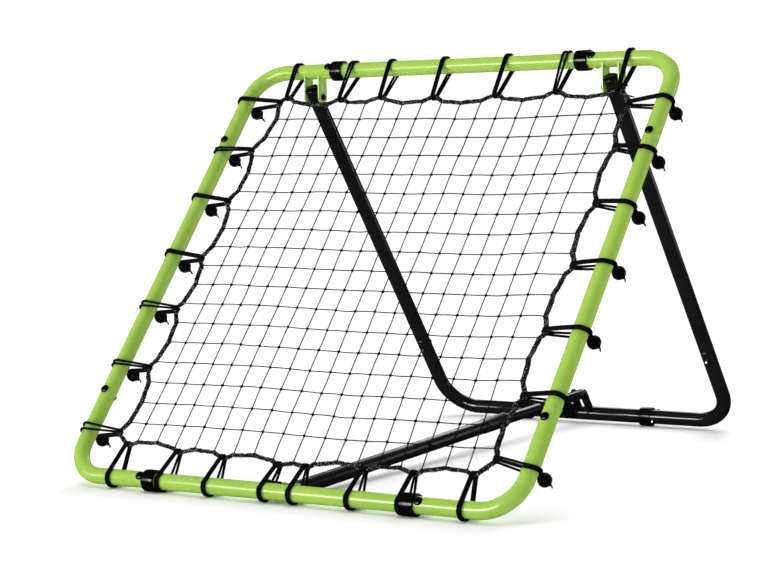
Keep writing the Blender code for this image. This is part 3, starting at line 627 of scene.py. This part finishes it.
def front_corner(end, y, side, x):
    """A bent corner piece with its two joint bolts, and the collar over its seam in the level tube."""
    node, level = f"frame_corner_{end}_{side}", HALF_SPAN * (1 + y)
    start = Vector((x * (LEVEL_SEAM + SEAM_GAP), level, 0))
    corner = Vector((x * HALF_SPAN, level, 0))
    stop = Vector((x * HALF_SPAN, HALF_SPAN + y * (SIDE_SEAM + SEAM_GAP), 0))
    run = [start, *bend(start, corner, stop, CORNER_RADIUS, 18), stop]
    show(f"{end}_bend_{side}", steel_tube(run, "lip", "lip"), FRONT, "front_frame", "green_tube",
         [node], LIME)
    places = ((x * LEVEL_BOLT, level), (x * HALF_SPAN, HALF_SPAN + y * SIDE_BOLTS[end]))
    bolts = [moved(through_bolt(JOINT_GRIP, JOINT_HEAD_RADIUS, NUT_RADIUS, JOINT_SHAFT), shift(*place))
             for place in places]
    show(f"{end}_joint_bolts_{side}", merged(*bolts), FRONT, "front_frame", "bolt", [node], BLACK_STEEL)
    show(f"{end}_clip_{side}", collar(), FRONT @ shift(x * LEVEL_SEAM, level), "front_frame",
         "black_plastic", [f"{end}_collar_{side}"], CLIP)


def front_frame():
    for end, y in ENDS.items():
        level_tube(end, y)
    for side, x in SIDES.items():
        side_tube(side, x)
        for end, y in ENDS.items():
            front_corner(end, y, side, x)


def hinge_brackets():
    """Under the top tube, for the legs of the rear frame."""
    drop = FRONT.inverted() @ HINGE - Vector((0, SPAN, 0))
    for side, x in SIDES.items():
        show(f"hinge_ears_{side}", bracket(drop.length, EAR_HALF_WIDTH, HINGE_GAP, drop.normalized()),
             FRONT @ shift(x * LEG_ACROSS, SPAN), "front_frame", "green_tube",
             [f"frame_corner_top_{side}"], LIME)
        place = FRONT @ Matrix.Translation(drop + Vector((x * LEG_ACROSS, SPAN, 0)))
        show(f"hinge_bolt_{side}", pivot_bolt(HINGE_GAP), place, "front_frame", "bolt",
             [f"leg_hinge_bolt_{side}"], BLACK_STEEL)


def strut_front_bracket():
    reach = FRONT.inverted() @ STRUT_FRONT
    ears = bracket(reach.length, EAR_HALF_WIDTH, STRUT_FRONT_GAP, reach.normalized())
    show("strut_front_ears", ears, FRONT, "front_frame", "green_tube", ["frame_bottom_tube"], LIME)
    show("strut_front_pivot", pivot_bolt(STRUT_FRONT_GAP), FRONT @ Matrix.Translation(reach),
         "front_frame", "bolt", ["strut_front_bolt"], BLACK_STEEL)


# Rear frame

def leg_tube(side, x):
    run = [Vector((x * LEG_ACROSS, place, 0)) for place in (LEG_TOP, 0, -0.2, -0.4, LEG_SEAM)]
    show(f"leg_tube_{side}", steel_tube(run, "lip", "neck"), REAR, "rear_frame", "black_tube",
         [f"rear_leg_{side}"], SATIN)


def joint_washer():
    seat, top = TUBE_RADIUS - 0.0006, TUBE_RADIUS + 0.0006
    return turned([(JOINT_SHAFT, seat), (0.0066, seat), (0.0069, TUBE_RADIUS - 0.0002), (0.0060, top),
                   (JOINT_SHAFT, top)], 32)


def rear_corner(side, x):
    """A bent corner piece, with the small bright heads and the nuts of its two joint bolts."""
    node, across = f"rear_corner_{side}", x * LEG_ACROSS
    start = Vector((x * (BASE_SEAM + SEAM_GAP), -LEG_LENGTH, 0))
    stop = Vector((across, LEG_SEAM - SEAM_GAP, 0))
    run = [start, *bend(start, Vector((across, -LEG_LENGTH, 0)), stop, REAR_CORNER_RADIUS, 18), stop]
    show(f"rear_bend_{side}", steel_tube(run, "lip", "lip"), REAR, "rear_frame", "black_tube",
         [node], SATIN)
    heads, nuts = [], []
    for place in ((x * BASE_BOLT, -LEG_LENGTH), (across, LEG_BOLT)):
        heads.append(moved(dome(REAR_HEAD_RADIUS, REAR_HEAD_HEIGHT, REAR_HEAD_SEAT), shift(*place)))
        nuts.append(moved(cap_nut(NUT_RADIUS, NUT_HEIGHT, JOINT_GRIP), shift(*place) @ UPSIDE_DOWN))
        nuts.append(moved(joint_washer(), shift(*place)))
    show(f"rear_bolt_heads_{side}", merged(*heads), REAR, "rear_frame", "bolt", [node], BRIGHT_STEEL)
    show(f"rear_bolt_nuts_{side}", merged(*nuts), REAR, "rear_frame", "bolt", [node], BLACK_STEEL)


def leg_cap(side, x):
    """The domed plug in the upper end of a leg."""
    profile = [(0, 0.0051), (0.0060, 0.0047), (0.0110, 0.0036), (0.0138, 0.0022), (0.0149, 0.0010),
               (TUBE_RADIUS, 0.0004), (TUBE_RADIUS - 0.0004, 0.0001), (0.0112, 0.0001),
               (0.0110, -0.006), (0, -0.006)]
    show(f"leg_cap_{side}", moved(turned(profile, 48), ALONG_Y), REAR @ shift(x * LEG_ACROSS, LEG_TOP),
         "rear_frame", "black_plastic", [f"leg_end_plug_{side}"], CLIP)


def rear_frame():
    for side, x in SIDES.items():
        leg_tube(side, x)
        rear_corner(side, x)
        leg_cap(side, x)
        show(f"rear_clip_{side}", collar(), REAR @ shift(x * BASE_SEAM, -LEG_LENGTH), "rear_frame",
             "black_plastic", [f"rear_collar_{side}"], CLIP)
    run = [Vector((share * BASE_SEAM, -LEG_LENGTH, 0)) for share in EVEN_SHARES]
    show("base_tube", steel_tube(run, "neck", "neck"), REAR, "rear_frame", "black_tube",
         ["rear_base_tube"], SATIN)


def strut_rear_bracket():
    ears = bracket(REAR_EAR_REACH, REAR_EAR_HALF_WIDTH, STRUT_REAR_GAP, Vector((0, 1, 0)))
    show("strut_rear_ears", ears, REAR @ shift(y=-LEG_LENGTH), "rear_frame", "black_tube",
         ["rear_base_tube"], SATIN)
    show("strut_rear_pivot", pivot_bolt(STRUT_REAR_GAP), REAR @ shift(y=REAR_EAR_REACH - LEG_LENGTH),
         "rear_frame", "bolt", ["strut_rear_bolt"], BLACK_STEEL)


# Strut: its profiles are radius and place along it

def strut_outer():
    """The outer tube with a domed front end, and the guide bush in its mouth."""
    tube = [(0, -0.0145), (0.0075, -0.0142), (0.0118, -0.0134), (0.0136, -0.0118),
            (OUTER_RADIUS, -0.0095), (OUTER_RADIUS, STRUT_MOUTH), (0.0126, STRUT_MOUTH)]
    show("strut_outer", moved(turned(tube, 48), ALONG_Y), STRUT, "strut_outer", "black_tube",
         ["strut_outer_tube"], STRUT_PAINT)
    bore, plug, low = 0.0113, 0.0122, STRUT_MOUTH - 0.030
    bush = [(bore, low), (plug, low), (plug, STRUT_MOUTH + 0.0003), (OUTER_RADIUS, STRUT_MOUTH + 0.0003),
            (OUTER_RADIUS, STRUT_MOUTH + 0.0033), (bore, STRUT_MOUTH + 0.0033), (bore, low)]
    show("strut_bush", moved(turned(bush, 48), ALONG_Y), STRUT, "strut_outer", "black_plastic",
         ["strut_guide_bush"], CLIP)


def lock_sleeve():
    """A slim sleeve over the mouth, with a low rim round its open end."""
    wide, bore, throat, low = SLEEVE_RADIUS, 0.0143, 0.0117, SLEEVE_LOW
    step, tip = STRUT_MOUTH + 0.0036, STRUT_MOUTH + 0.0101
    sleeve = [(bore, low), (wide - 0.0006, low), (wide - 0.0002, low + 0.0010),
              (wide - 0.0001, low + 0.0024), (wide - 0.0001, tip - 0.0080), (wide + 0.0003, tip - 0.0070),
              (wide + 0.0004, tip - 0.0030), (wide - 0.0006, tip - 0.0008), (wide - 0.0022, tip),
              (throat, tip), (throat, step), (bore, step), (bore, low)]
    show("lock_grip", moved(turned(sleeve, 56), ALONG_Y), STRUT, "lock_sleeve", "black_plastic",
         ["strut_lock_sleeve"], GRIP)


def strut_inner():
    """The inner tube with its domed rear end, and the stop bolt through it."""
    start, end = STRUT_MOUTH - 0.100, STRUT_LENGTH + 0.0115
    tube = [(0, start), (INNER_RADIUS, start), (INNER_RADIUS, end - 0.0022), (0.0106, end - 0.0004),
            (0.0092, end + 0.0008), (0.0050, end + 0.0014), (0, end + 0.0015)]
    show("strut_inner", moved(turned(tube, 44), ALONG_Y), STRUT, "strut_inner", "black_tube",
         ["strut_inner_tube"], STRUT_PAINT)
    show("strut_stop", through_bolt(STOP_GRIP, STOP_HEAD_RADIUS, STOP_HEAD_RADIUS, STOP_SHAFT),
         STRUT @ shift(y=STRUT_LENGTH - STOP_INSET), "strut_inner", "bolt", ["strut_inner_tube"],
         BRIGHT_STEEL)


# Border rope and net

def side_point(side, along, inward):
    """A point of the frame's plane, from its place along a tube and its distance inward."""
    if side == "top":
        return Vector((along, SPAN - inward, 0))
    if side == "bottom":
        return Vector((along, inward, 0))
    if side == "left":
        return Vector((inward - HALF_SPAN, HALF_SPAN + along, 0))
    return Vector((HALF_SPAN - inward, HALF_SPAN + along, 0))


def rope_depth(side, along):
    """How far in the rope runs: held out by each bungee, and bowed in flat arcs between them."""
    row = [loop[:2] for loop in BUNGEES[side]]
    if along <= row[0][0]:
        return row[0][1]
    for (first, depth), (last, next_depth) in zip(row, row[1:]):
        if along <= last:
            share = (along - first) / (last - first)
            bow = ROPE_BOW[side] * (last - first) * (1 - abs(2 * share - 1) ** 2.6)
            return depth + share * (next_depth - depth) + bow
    return row[-1][1]


def tie_places():
    return [(k - (TWINES - 1) / 2) * PITCH for k in range(TWINES)]


def net_pull(x, y):
    """How far a place in the net is pulled sideways and upward."""
    across, up = x / NET_HALF, y / NET_HALF
    return [0.001 * sum(term * across ** i * up ** j for i, terms in enumerate(group)
                        for j, term in enumerate(terms)) for group in NET_PULL]


def ties(side):
    """Where the twines meet this side, as places along its tube."""
    far = NET_MIDDLE - TIE_REACH
    if side in ("top", "bottom"):
        level = far if side == "top" else -far
        return [place + net_pull(place, level)[0] for place in tie_places()]
    level = -far if side == "left" else far
    return [NET_MIDDLE - HALF_SPAN + place + net_pull(level, place)[1] for place in tie_places()]


def rope_run(side):
    """Points of the rope along one tube, peaked inward where a twine is tied to it."""
    row = BUNGEES[side]
    stops = sorted([(loop[0], 0.0) for loop in row]
                   + [(place, TIE_PEAK) for place in ties(side) if row[0][0] < place < row[-1][0]])
    points = []
    for (first, rise), (last, next_rise) in zip(stops, stops[1:]):
        steps = max(2, round((last - first) / 0.004))
        for i in range(steps):
            share = i / steps
            along = first + share * (last - first)
            peak = rise * (1 - share) ** 5 + next_rise * share ** 5
            points.append(side_point(side, along, rope_depth(side, along) + peak))
    points.append(side_point(side, stops[-1][0], rope_depth(side, stops[-1][0])))
    return points


def rope_route():
    """The whole rope, clockwise round the net and back to its first point."""
    route = []
    for side, order in (("top", 1), ("right", -1), ("bottom", -1), ("left", 1)):
        route += rope_run(side)[::order]
    route.append(route[0])
    return route


def evenly(points, step):
    """Points a step apart along a run."""
    lengths = [(b - a).length for a, b in zip(points, points[1:])]
    total = sum(lengths)
    count = max(2, round(total / step))
    made, index, passed = [], 0, 0.0
    for i in range(count + 1):
        target = total * i / count
        while index < len(lengths) - 1 and passed + lengths[index] < target:
            passed += lengths[index]
            index += 1
        share = min(1.0, (target - passed) / lengths[index])
        made.append(points[index].lerp(points[index + 1], share))
    return made


def border_rope():
    """Three fat strands plaited round the net, drawn tight in some places and lumpy in others."""
    route = evenly(rope_route(), ROPE_STEP)
    count = len(route) - 1
    plaits = round(count * ROPE_STEP / PLAIT_LENGTH)
    strands = []
    for strand in range(3):
        points, radii = [], []
        for i, place in enumerate(route):
            onward = (route[min(i + 1, count)] - route[max(i - 1, 0)]).normalized()
            across = onward.cross(FACING_UP)
            girth = 1 + SIDE_GIRTH * abs(onward.y)
            phase = 2 * pi * (plaits * i / count + strand / 3)
            stray = 0.0009 * noise.noise_vector(70 * place)
            loose = 0.0020 * girth + 0.0007 * noise.noise(40 * place)
            points.append(place + stray + across * loose * sin(phase)
                          + FACING_UP * 0.0012 * sin(2 * phase))
            radii.append(STRAND_RADIUS * (0.5 + 0.5 * girth + 0.30 * noise.noise(130 * place)))
        half = len(points) // 2
        for part in (slice(half + 1), slice(half, None)):
            strands.append(swept(points[part], radii[part], 6, FACING_UP))
    for start, stop in ROPE_ENDS:
        strands += rope_end(start, stop)
    show("border_rope", merged(*strands), FRONT, "front_frame", "border_rope", ["net_border_rope"],
         ROPE_FINISH, crease=80)


def rope_end(start, stop):
    """A frayed end of the rope or of a tie, standing off it."""
    start, stop = Vector((*start, 0.001)), Vector((*stop, 0.002))
    fibres = []
    for fibre in range(3):
        stray = noise.noise_vector(Vector((9.3 * fibre, 140 * stop.x, 90 * stop.y)))
        points = [start, start.lerp(stop, 0.5) + 0.0012 * stray, stop + 0.0030 * stray]
        fibres.append(swept(points, [0.0016, 0.0014, 0.0008], 6, FACING_UP))
    return fibres


def net_knot(x, y):
    """Where a crossing lies: the pull of the rope moves it off its square place."""
    place = Vector((x, NET_MIDDLE + y, 0))
    across, up = net_pull(x, y)
    small = noise.noise_vector(Vector((61 * x, 61 * y, 4.1)))
    slack = noise.noise(Vector((5.5 * x, 5.5 * y, 0.3)))
    return place + Vector((across + 0.0012 * small.x, up + 0.0012 * small.y, 0.004 * slack))


def twine_run(knots):
    """A twine through its knots, bowed a little between two, so that it doesn't look ruled."""
    points = []
    for first, last in zip(knots, knots[1:]):
        bow = noise.noise_vector(37 * (first + last))
        for i in range(4):
            share = i / 4
            lift = 4 * share * (1 - share)
            points.append(first.lerp(last, share) + 0.0016 * lift * bow)
    points.append(knots[-1])
    return points


def knot_wrap(place, turn, radius):
    """Two small turns of twine that cross over each other."""
    wraps = []
    for tilt, lean in ((0.9, 0.20), (-0.7, -0.24)):
        points = arc((0, 0), radius, 0, 2 * pi, 6)
        coil = swept(points, [KNOT_TWINE] * len(points), 5, FACING_UP, capped=False)
        spin = Matrix.Rotation(turn + tilt, 4, "Z") @ Matrix.Rotation(pi / 2 - lean, 4, "X")
        wraps.append(moved(coil, Matrix.Translation(place) @ spin @ Matrix.Diagonal((1.25, 1, 1, 1))))
    return wraps


def net():
    """Twines both ways, tied to the rope at their ends and knotted where they cross."""
    places = tie_places()
    crossings = {(a, b): net_knot(x, y) for a, x in enumerate(places) for b, y in enumerate(places)}
    ends = {side: [side_point(side, place, rope_depth(side, place) + TIE_INSET)
                   for place in ties(side)] for side in BUNGEES}
    shapes = []
    for number in range(TWINES):
        column = [ends["bottom"][number], *(crossings[number, b] for b in range(TWINES)),
                  ends["top"][number]]
        row = [ends["left"][number], *(crossings[a, number] for a in range(TWINES)),
               ends["right"][number]]
        for knots in (column, row):
            points = twine_run(knots)
            shapes.append(swept(points, [TWINE_RADIUS] * len(points), 6, FACING_UP))
            for end in (knots[0], knots[-1]):
                shapes += knot_wrap(end, 0.4, END_KNOT_RADIUS)
    for (a, b), place in crossings.items():
        shapes += knot_wrap(place, 0.8 * sin(3 * a + 5 * b), CROSSING_KNOT_RADIUS)
    show("net_twines", merged(*shapes), FRONT, "front_frame", "net_twine", ["net"], TWINE_FINISH,
         crease=80)


# Bungees

def ball_place(side, along, inward):
    """The middle of a ball in its bungee's axes, and the direction from the cord out to it."""
    if side in BALL_ANGLES:
        angle = BALL_ANGLES[side]
        outward = Vector((-cos(angle), -sin(angle), 0))
        rise = 0.0 if side == "left" else HOOK_RISE
        return (TUBE_WRAP + CORD_RADIUS + rise + BALL_RADIUS - BALL_SEAT) * outward, outward
    aside = max(0, BRACKET_NUT + BALL_RADIUS + 2 * SEAM_GAP - abs(along))
    reach = TUBE_WRAP + CORD_RADIUS + (BESIDE_REACH if aside else BALL_RADIUS - BALL_SEAT)
    tilt = asin((TUBE_RADIUS - ROPE_RADIUS) / inward)
    seat = Vector((-sin(tilt), cos(tilt), 0))
    run = Vector((cos(tilt), sin(tilt), 0))
    upward = Vector((sin(LEAN), cos(LEAN), 0))
    off_floor = (BALL_RADIUS + 2 * SEAM_GAP - FRONT_TUBE.z + reach * seat.dot(upward)) / run.dot(upward)
    off_tube = sqrt(max(0, (TUBE_RADIUS + BALL_RADIUS + 2 * SEAM_GAP) ** 2 - reach ** 2))
    beside = Vector((0, 0, copysign(aside, along)))
    return max(off_floor, off_tube) * run - reach * seat + beside, -seat


def polar(radius, angle, height=0.0):
    return Vector((radius * cos(angle), radius * sin(angle), height))


def cord_half(side, along, inward, front_gap, back_gap):
    """Half of a bungee's cord: from inside its ball round the tube and the rope to the ball's neck."""
    tilt = asin((TUBE_WRAP - ROPE_WRAP) / inward)
    front, back = pi / 2 + tilt, 3 * pi / 2 - tilt
    middle, outward = ball_place(side, along, inward)
    neck = atan2(outward.y, outward.x) % (2 * pi)
    foot = middle - (BALL_RADIUS - BALL_SEAT + CORD_RADIUS) * outward
    behind_tube = side == "bottom"

    # Out of the ball and over the tube
    beside = Vector((0, 0, CORD_PAIR))
    points = [middle + beside]
    points.append(foot + beside if behind_tube else polar(TUBE_WRAP + 0.004, neck) + beside)
    last = back if behind_tube else neck
    for share in (i / 12 for i in range(13)):
        height = CORD_PAIR + (front_gap - CORD_PAIR) * sin(pi * min(1, share * 1.15) / 2) ** 2
        points.append(polar(TUBE_WRAP, last + (front - last) * share, height))

    # To the rope, round it and back
    grip = Vector((inward, 0, CORD_PAIR))
    start, end = points[-1], grip + polar(ROPE_WRAP, front)
    points += [start.lerp(end, i / 5) for i in range(1, 5)]
    points += [grip + polar(ROPE_WRAP, front * (1 - i / 4)) for i in range(9)]
    start = points[-1]
    end = foot + HOOK_LIFT * outward if behind_tube else polar(TUBE_WRAP + 0.0006, back)
    for share in (i / 6 for i in range(1, 6)):
        spot = start.lerp(end, share)
        spot.z = CORD_PAIR + (back_gap - CORD_PAIR) * share
        points.append(spot)

    # Round the neck of the ball
    if behind_tube:
        seat = end
        points.append(seat + Vector((0, 0, HOOK_RADIUS)) - 0.002 * Vector((cos(tilt), -sin(tilt), 0)))
    else:
        seat = polar(TUBE_WRAP + HOOK_LIFT, neck)
        for share, height in ((0.33, back_gap), (0.66, (back_gap + HOOK_RADIUS) / 2), (1, HOOK_RADIUS)):
            angle = back + (neck + 0.30 - back) * share
            points.append(polar(TUBE_WRAP + HOOK_LIFT * share ** 0.7, angle, height))
    tangent = Vector((-outward.y, outward.x, 0))
    toward = tangent if tangent.dot(points[-1] - seat) > 0 else -tangent
    for angle in (pi / 8 * i for i in range(5)):
        points.append(seat - toward * HOOK_RADIUS * sin(angle) + Vector((0, 0, HOOK_RADIUS * cos(angle))))
    return points


def leaned(shape, side, inward, lean, drop):
    """Slides a loop's outer end along the tube, so that it leans, and its ball a little further."""
    way = 1 if side in ("bottom", "right") else -1
    for corner in shape.verts:
        off = 1 - min(1.0, max(0.0, corner.co.x / inward))
        behind = min(1.0, max(0.0, (TUBE_WRAP - corner.co.y) / (2 * TUBE_WRAP)))
        corner.co.z += way * off * (lean + drop * behind)
    return shape


def bungee_ball():
    """A moulded ball: shallow dished panels, and the nub that the cord is knotted under."""
    ball = bmesh.new()
    bmesh.ops.create_icosphere(ball, subdivisions=2, radius=BALL_RADIUS)
    bmesh.ops.inset_individual(ball, faces=ball.faces[:], thickness=0.0009, depth=-0.0007)
    nub = bmesh.new()
    bmesh.ops.create_icosphere(nub, subdivisions=2, radius=NUB_RADIUS)
    moved(nub, shift(z=BALL_RADIUS + 0.0002))
    whole = merged(ball, nub)
    for face in whole.faces:
        face.material_index = 1
    return whole


def cord_tails(number, knot, outward, down):
    """The two cut ends of the cord, poking out of the ball's knot and hanging down."""
    tails = []
    for which in (0, 1):
        stray = noise.noise_vector(Vector((3.7 * number, 1.9 * which, knot.x * 90)))
        long = 0.0042 + 0.0028 * stray.x + 0.0015 * which
        aim = (0.5 * outward + down + 0.9 * stray).normalized()
        points = [knot, knot + 0.0035 * outward + 0.0008 * stray, knot + 0.0035 * outward + long * aim]
        points.insert(2, (points[1] + points[2]) / 2 + 0.0006 * outward)
        radii = [0.0015, 0.0015, 0.0014, 0.0011]
        tails.append(swept(points, radii, 6, Vector((0.31, 0.52, 0.80))))
    return merged(*tails)


def bungee_axes(side):
    inward = (side_point(side, 0, 1) - side_point(side, 0, 0)).normalized()
    return Matrix((inward, FACING_UP, inward.cross(FACING_UP))).transposed().to_4x4()


def bungees():
    for side, row in BUNGEES.items():
        axes = bungee_axes(side)
        down = (FRONT.to_3x3() @ axes.to_3x3()).inverted() @ -FACING_UP
        for number, (along, inward, lean, drop, front_gap, back_gap) in enumerate(row, 1):
            half = cord_half(side, along, inward, front_gap, back_gap)
            points = half + [Vector((p.x, p.y, -p.z)) for p in half[-2::-1]]
            start = (half[1] - half[0]).normalized()
            sideways = FACING_UP - start.dot(FACING_UP) * start
            cord = swept(points, [CORD_RADIUS] * len(points), 8, sideways)
            middle, outward = ball_place(side, along, inward)
            if side == "bottom":
                outward = (outward - outward.dot(down) * down).normalized()
            aim = outward.to_track_quat("Z", "Y").to_matrix().to_4x4()
            ball = moved(bungee_ball(), Matrix.Translation(middle) @ aim)
            tails = cord_tails(number, middle + (BALL_RADIUS + 0.002) * outward, outward, down)
            loop = leaned(merged(cord, tails, ball), side, inward, lean, drop)
            place = FRONT @ Matrix.Translation(side_point(side, along, 0)) @ axes
            show(f"bungee_{side}_{number}_cord", loop, place, "front_frame", "bungee",
                 [f"bungee_{side}_{number}"], ELASTIC, RUBBER, crease=50)


# Floor, light and camera

def floor():
    shape = bmesh.new()
    bmesh.ops.create_grid(shape, x_segments=1, y_segments=1, size=30)
    data = bpy.data.meshes.new("studio_floor")
    shape.to_mesh(data)
    shape.free()
    pale = surface("pale_floor", Roughness=0.9, Specular_IOR_Level=0.1)
    pale.feed("Base Color", pale.blend(pale.grain(pale.place(), 3, 3), colour(0.970, 0.970, 0.970),
                                       colour(0.985, 0.985, 0.985)))
    data.materials.append(pale.owner)
    ground = bpy.data.objects.new("studio_floor", data)
    bpy.context.scene.collection.objects.link(ground)
    ground.visible_glossy = False


def air():
    """White air round the studio, brightest at the level of the floor, and not seen in reflections."""
    white = Finish(bpy.data.worlds.new("studio_air"), "Background", Color=colour(1, 1, 1))
    height = white.parts(white.node("ShaderNodeTexCoord", {}, {}, "Generated"))[2]
    white.feed("Strength", white.range(height, 0.12, 0.34, 1.03, 0.30))
    bpy.context.scene.world = white.owner
    white.owner.cycles_visibility.glossy = False


def lamp(name, kind, place, aim, power):
    light = bpy.data.lights.new(name, kind)
    light.energy = power
    holder = bpy.data.objects.new(name, light)
    turn = aim.to_track_quat("-Z", "Y").to_matrix().to_4x4()
    holder.matrix_world = Matrix.Translation(place) @ turn
    bpy.context.scene.collection.objects.link(holder)
    return holder


def soft_lights():
    """Broad light that shades the object. Reflections don't show it."""
    for name, power, spread, aim in (("soft_overhead", 1.22, 60, (0.10, -0.05, -1.0)),
                                     ("back_light", 2.25, 50, (0.10, -1.0, -0.60)),
                                     ("front_fill", 2.3, 40, (0.66, 0.74, -0.16))):
        holder = lamp(name, "SUN", (0, 0, 0), Vector(aim), power)
        holder.data.angle = radians(spread)
        holder.visible_glossy = False


def windows():
    """Panels that only reflections show. They make the streaks along the tubes."""
    for name, place, target, width, height, power in (
            ("front_window", (-1.1, -4.0, 0.85), (-1.1, 0, 0.5), 3.2, 1.3, 310),
            ("side_window", (-3.4, -3.8, 0.85), (-1.4, 0, 0.5), 1.4, 1.3, 50),
            ("rear_window", (-1.3, 3.6, 2.3), (0, 0, 0.1), 2.2, 1.6, 55),
            ("edge_window", (3.4, 4.4, 0.9), (0, 0.4, 0.4), 1.2, 2.4, 20)):
        holder = lamp(name, "AREA", place, Vector(target) - Vector(place), power)
        holder.data.shape = "RECTANGLE"
        holder.data.size, holder.data.size_y = width, height
        holder.visible_diffuse = False


def camera():
    lens = bpy.data.cameras.new("photo_camera")
    lens.sensor_width = 36
    lens.lens = 100.2134
    lens.clip_end = 60
    viewer = bpy.data.objects.new("photo_camera", lens)
    viewer.location = (2.29904, -3.53116, 0.66111)
    viewer.rotation_euler = (radians(85.48994), radians(1.56786), radians(34.36810))
    bpy.context.scene.collection.objects.link(viewer)
    bpy.context.scene.camera = viewer
    bpy.context.scene.view_settings.view_transform = "Standard"


camera()
front_frame()
hinge_brackets()
strut_front_bracket()
rear_frame()
strut_rear_bracket()
strut_outer()
lock_sleeve()
strut_inner()
border_rope()
net()
bungees()
floor()
air()
soft_lights()
windows()
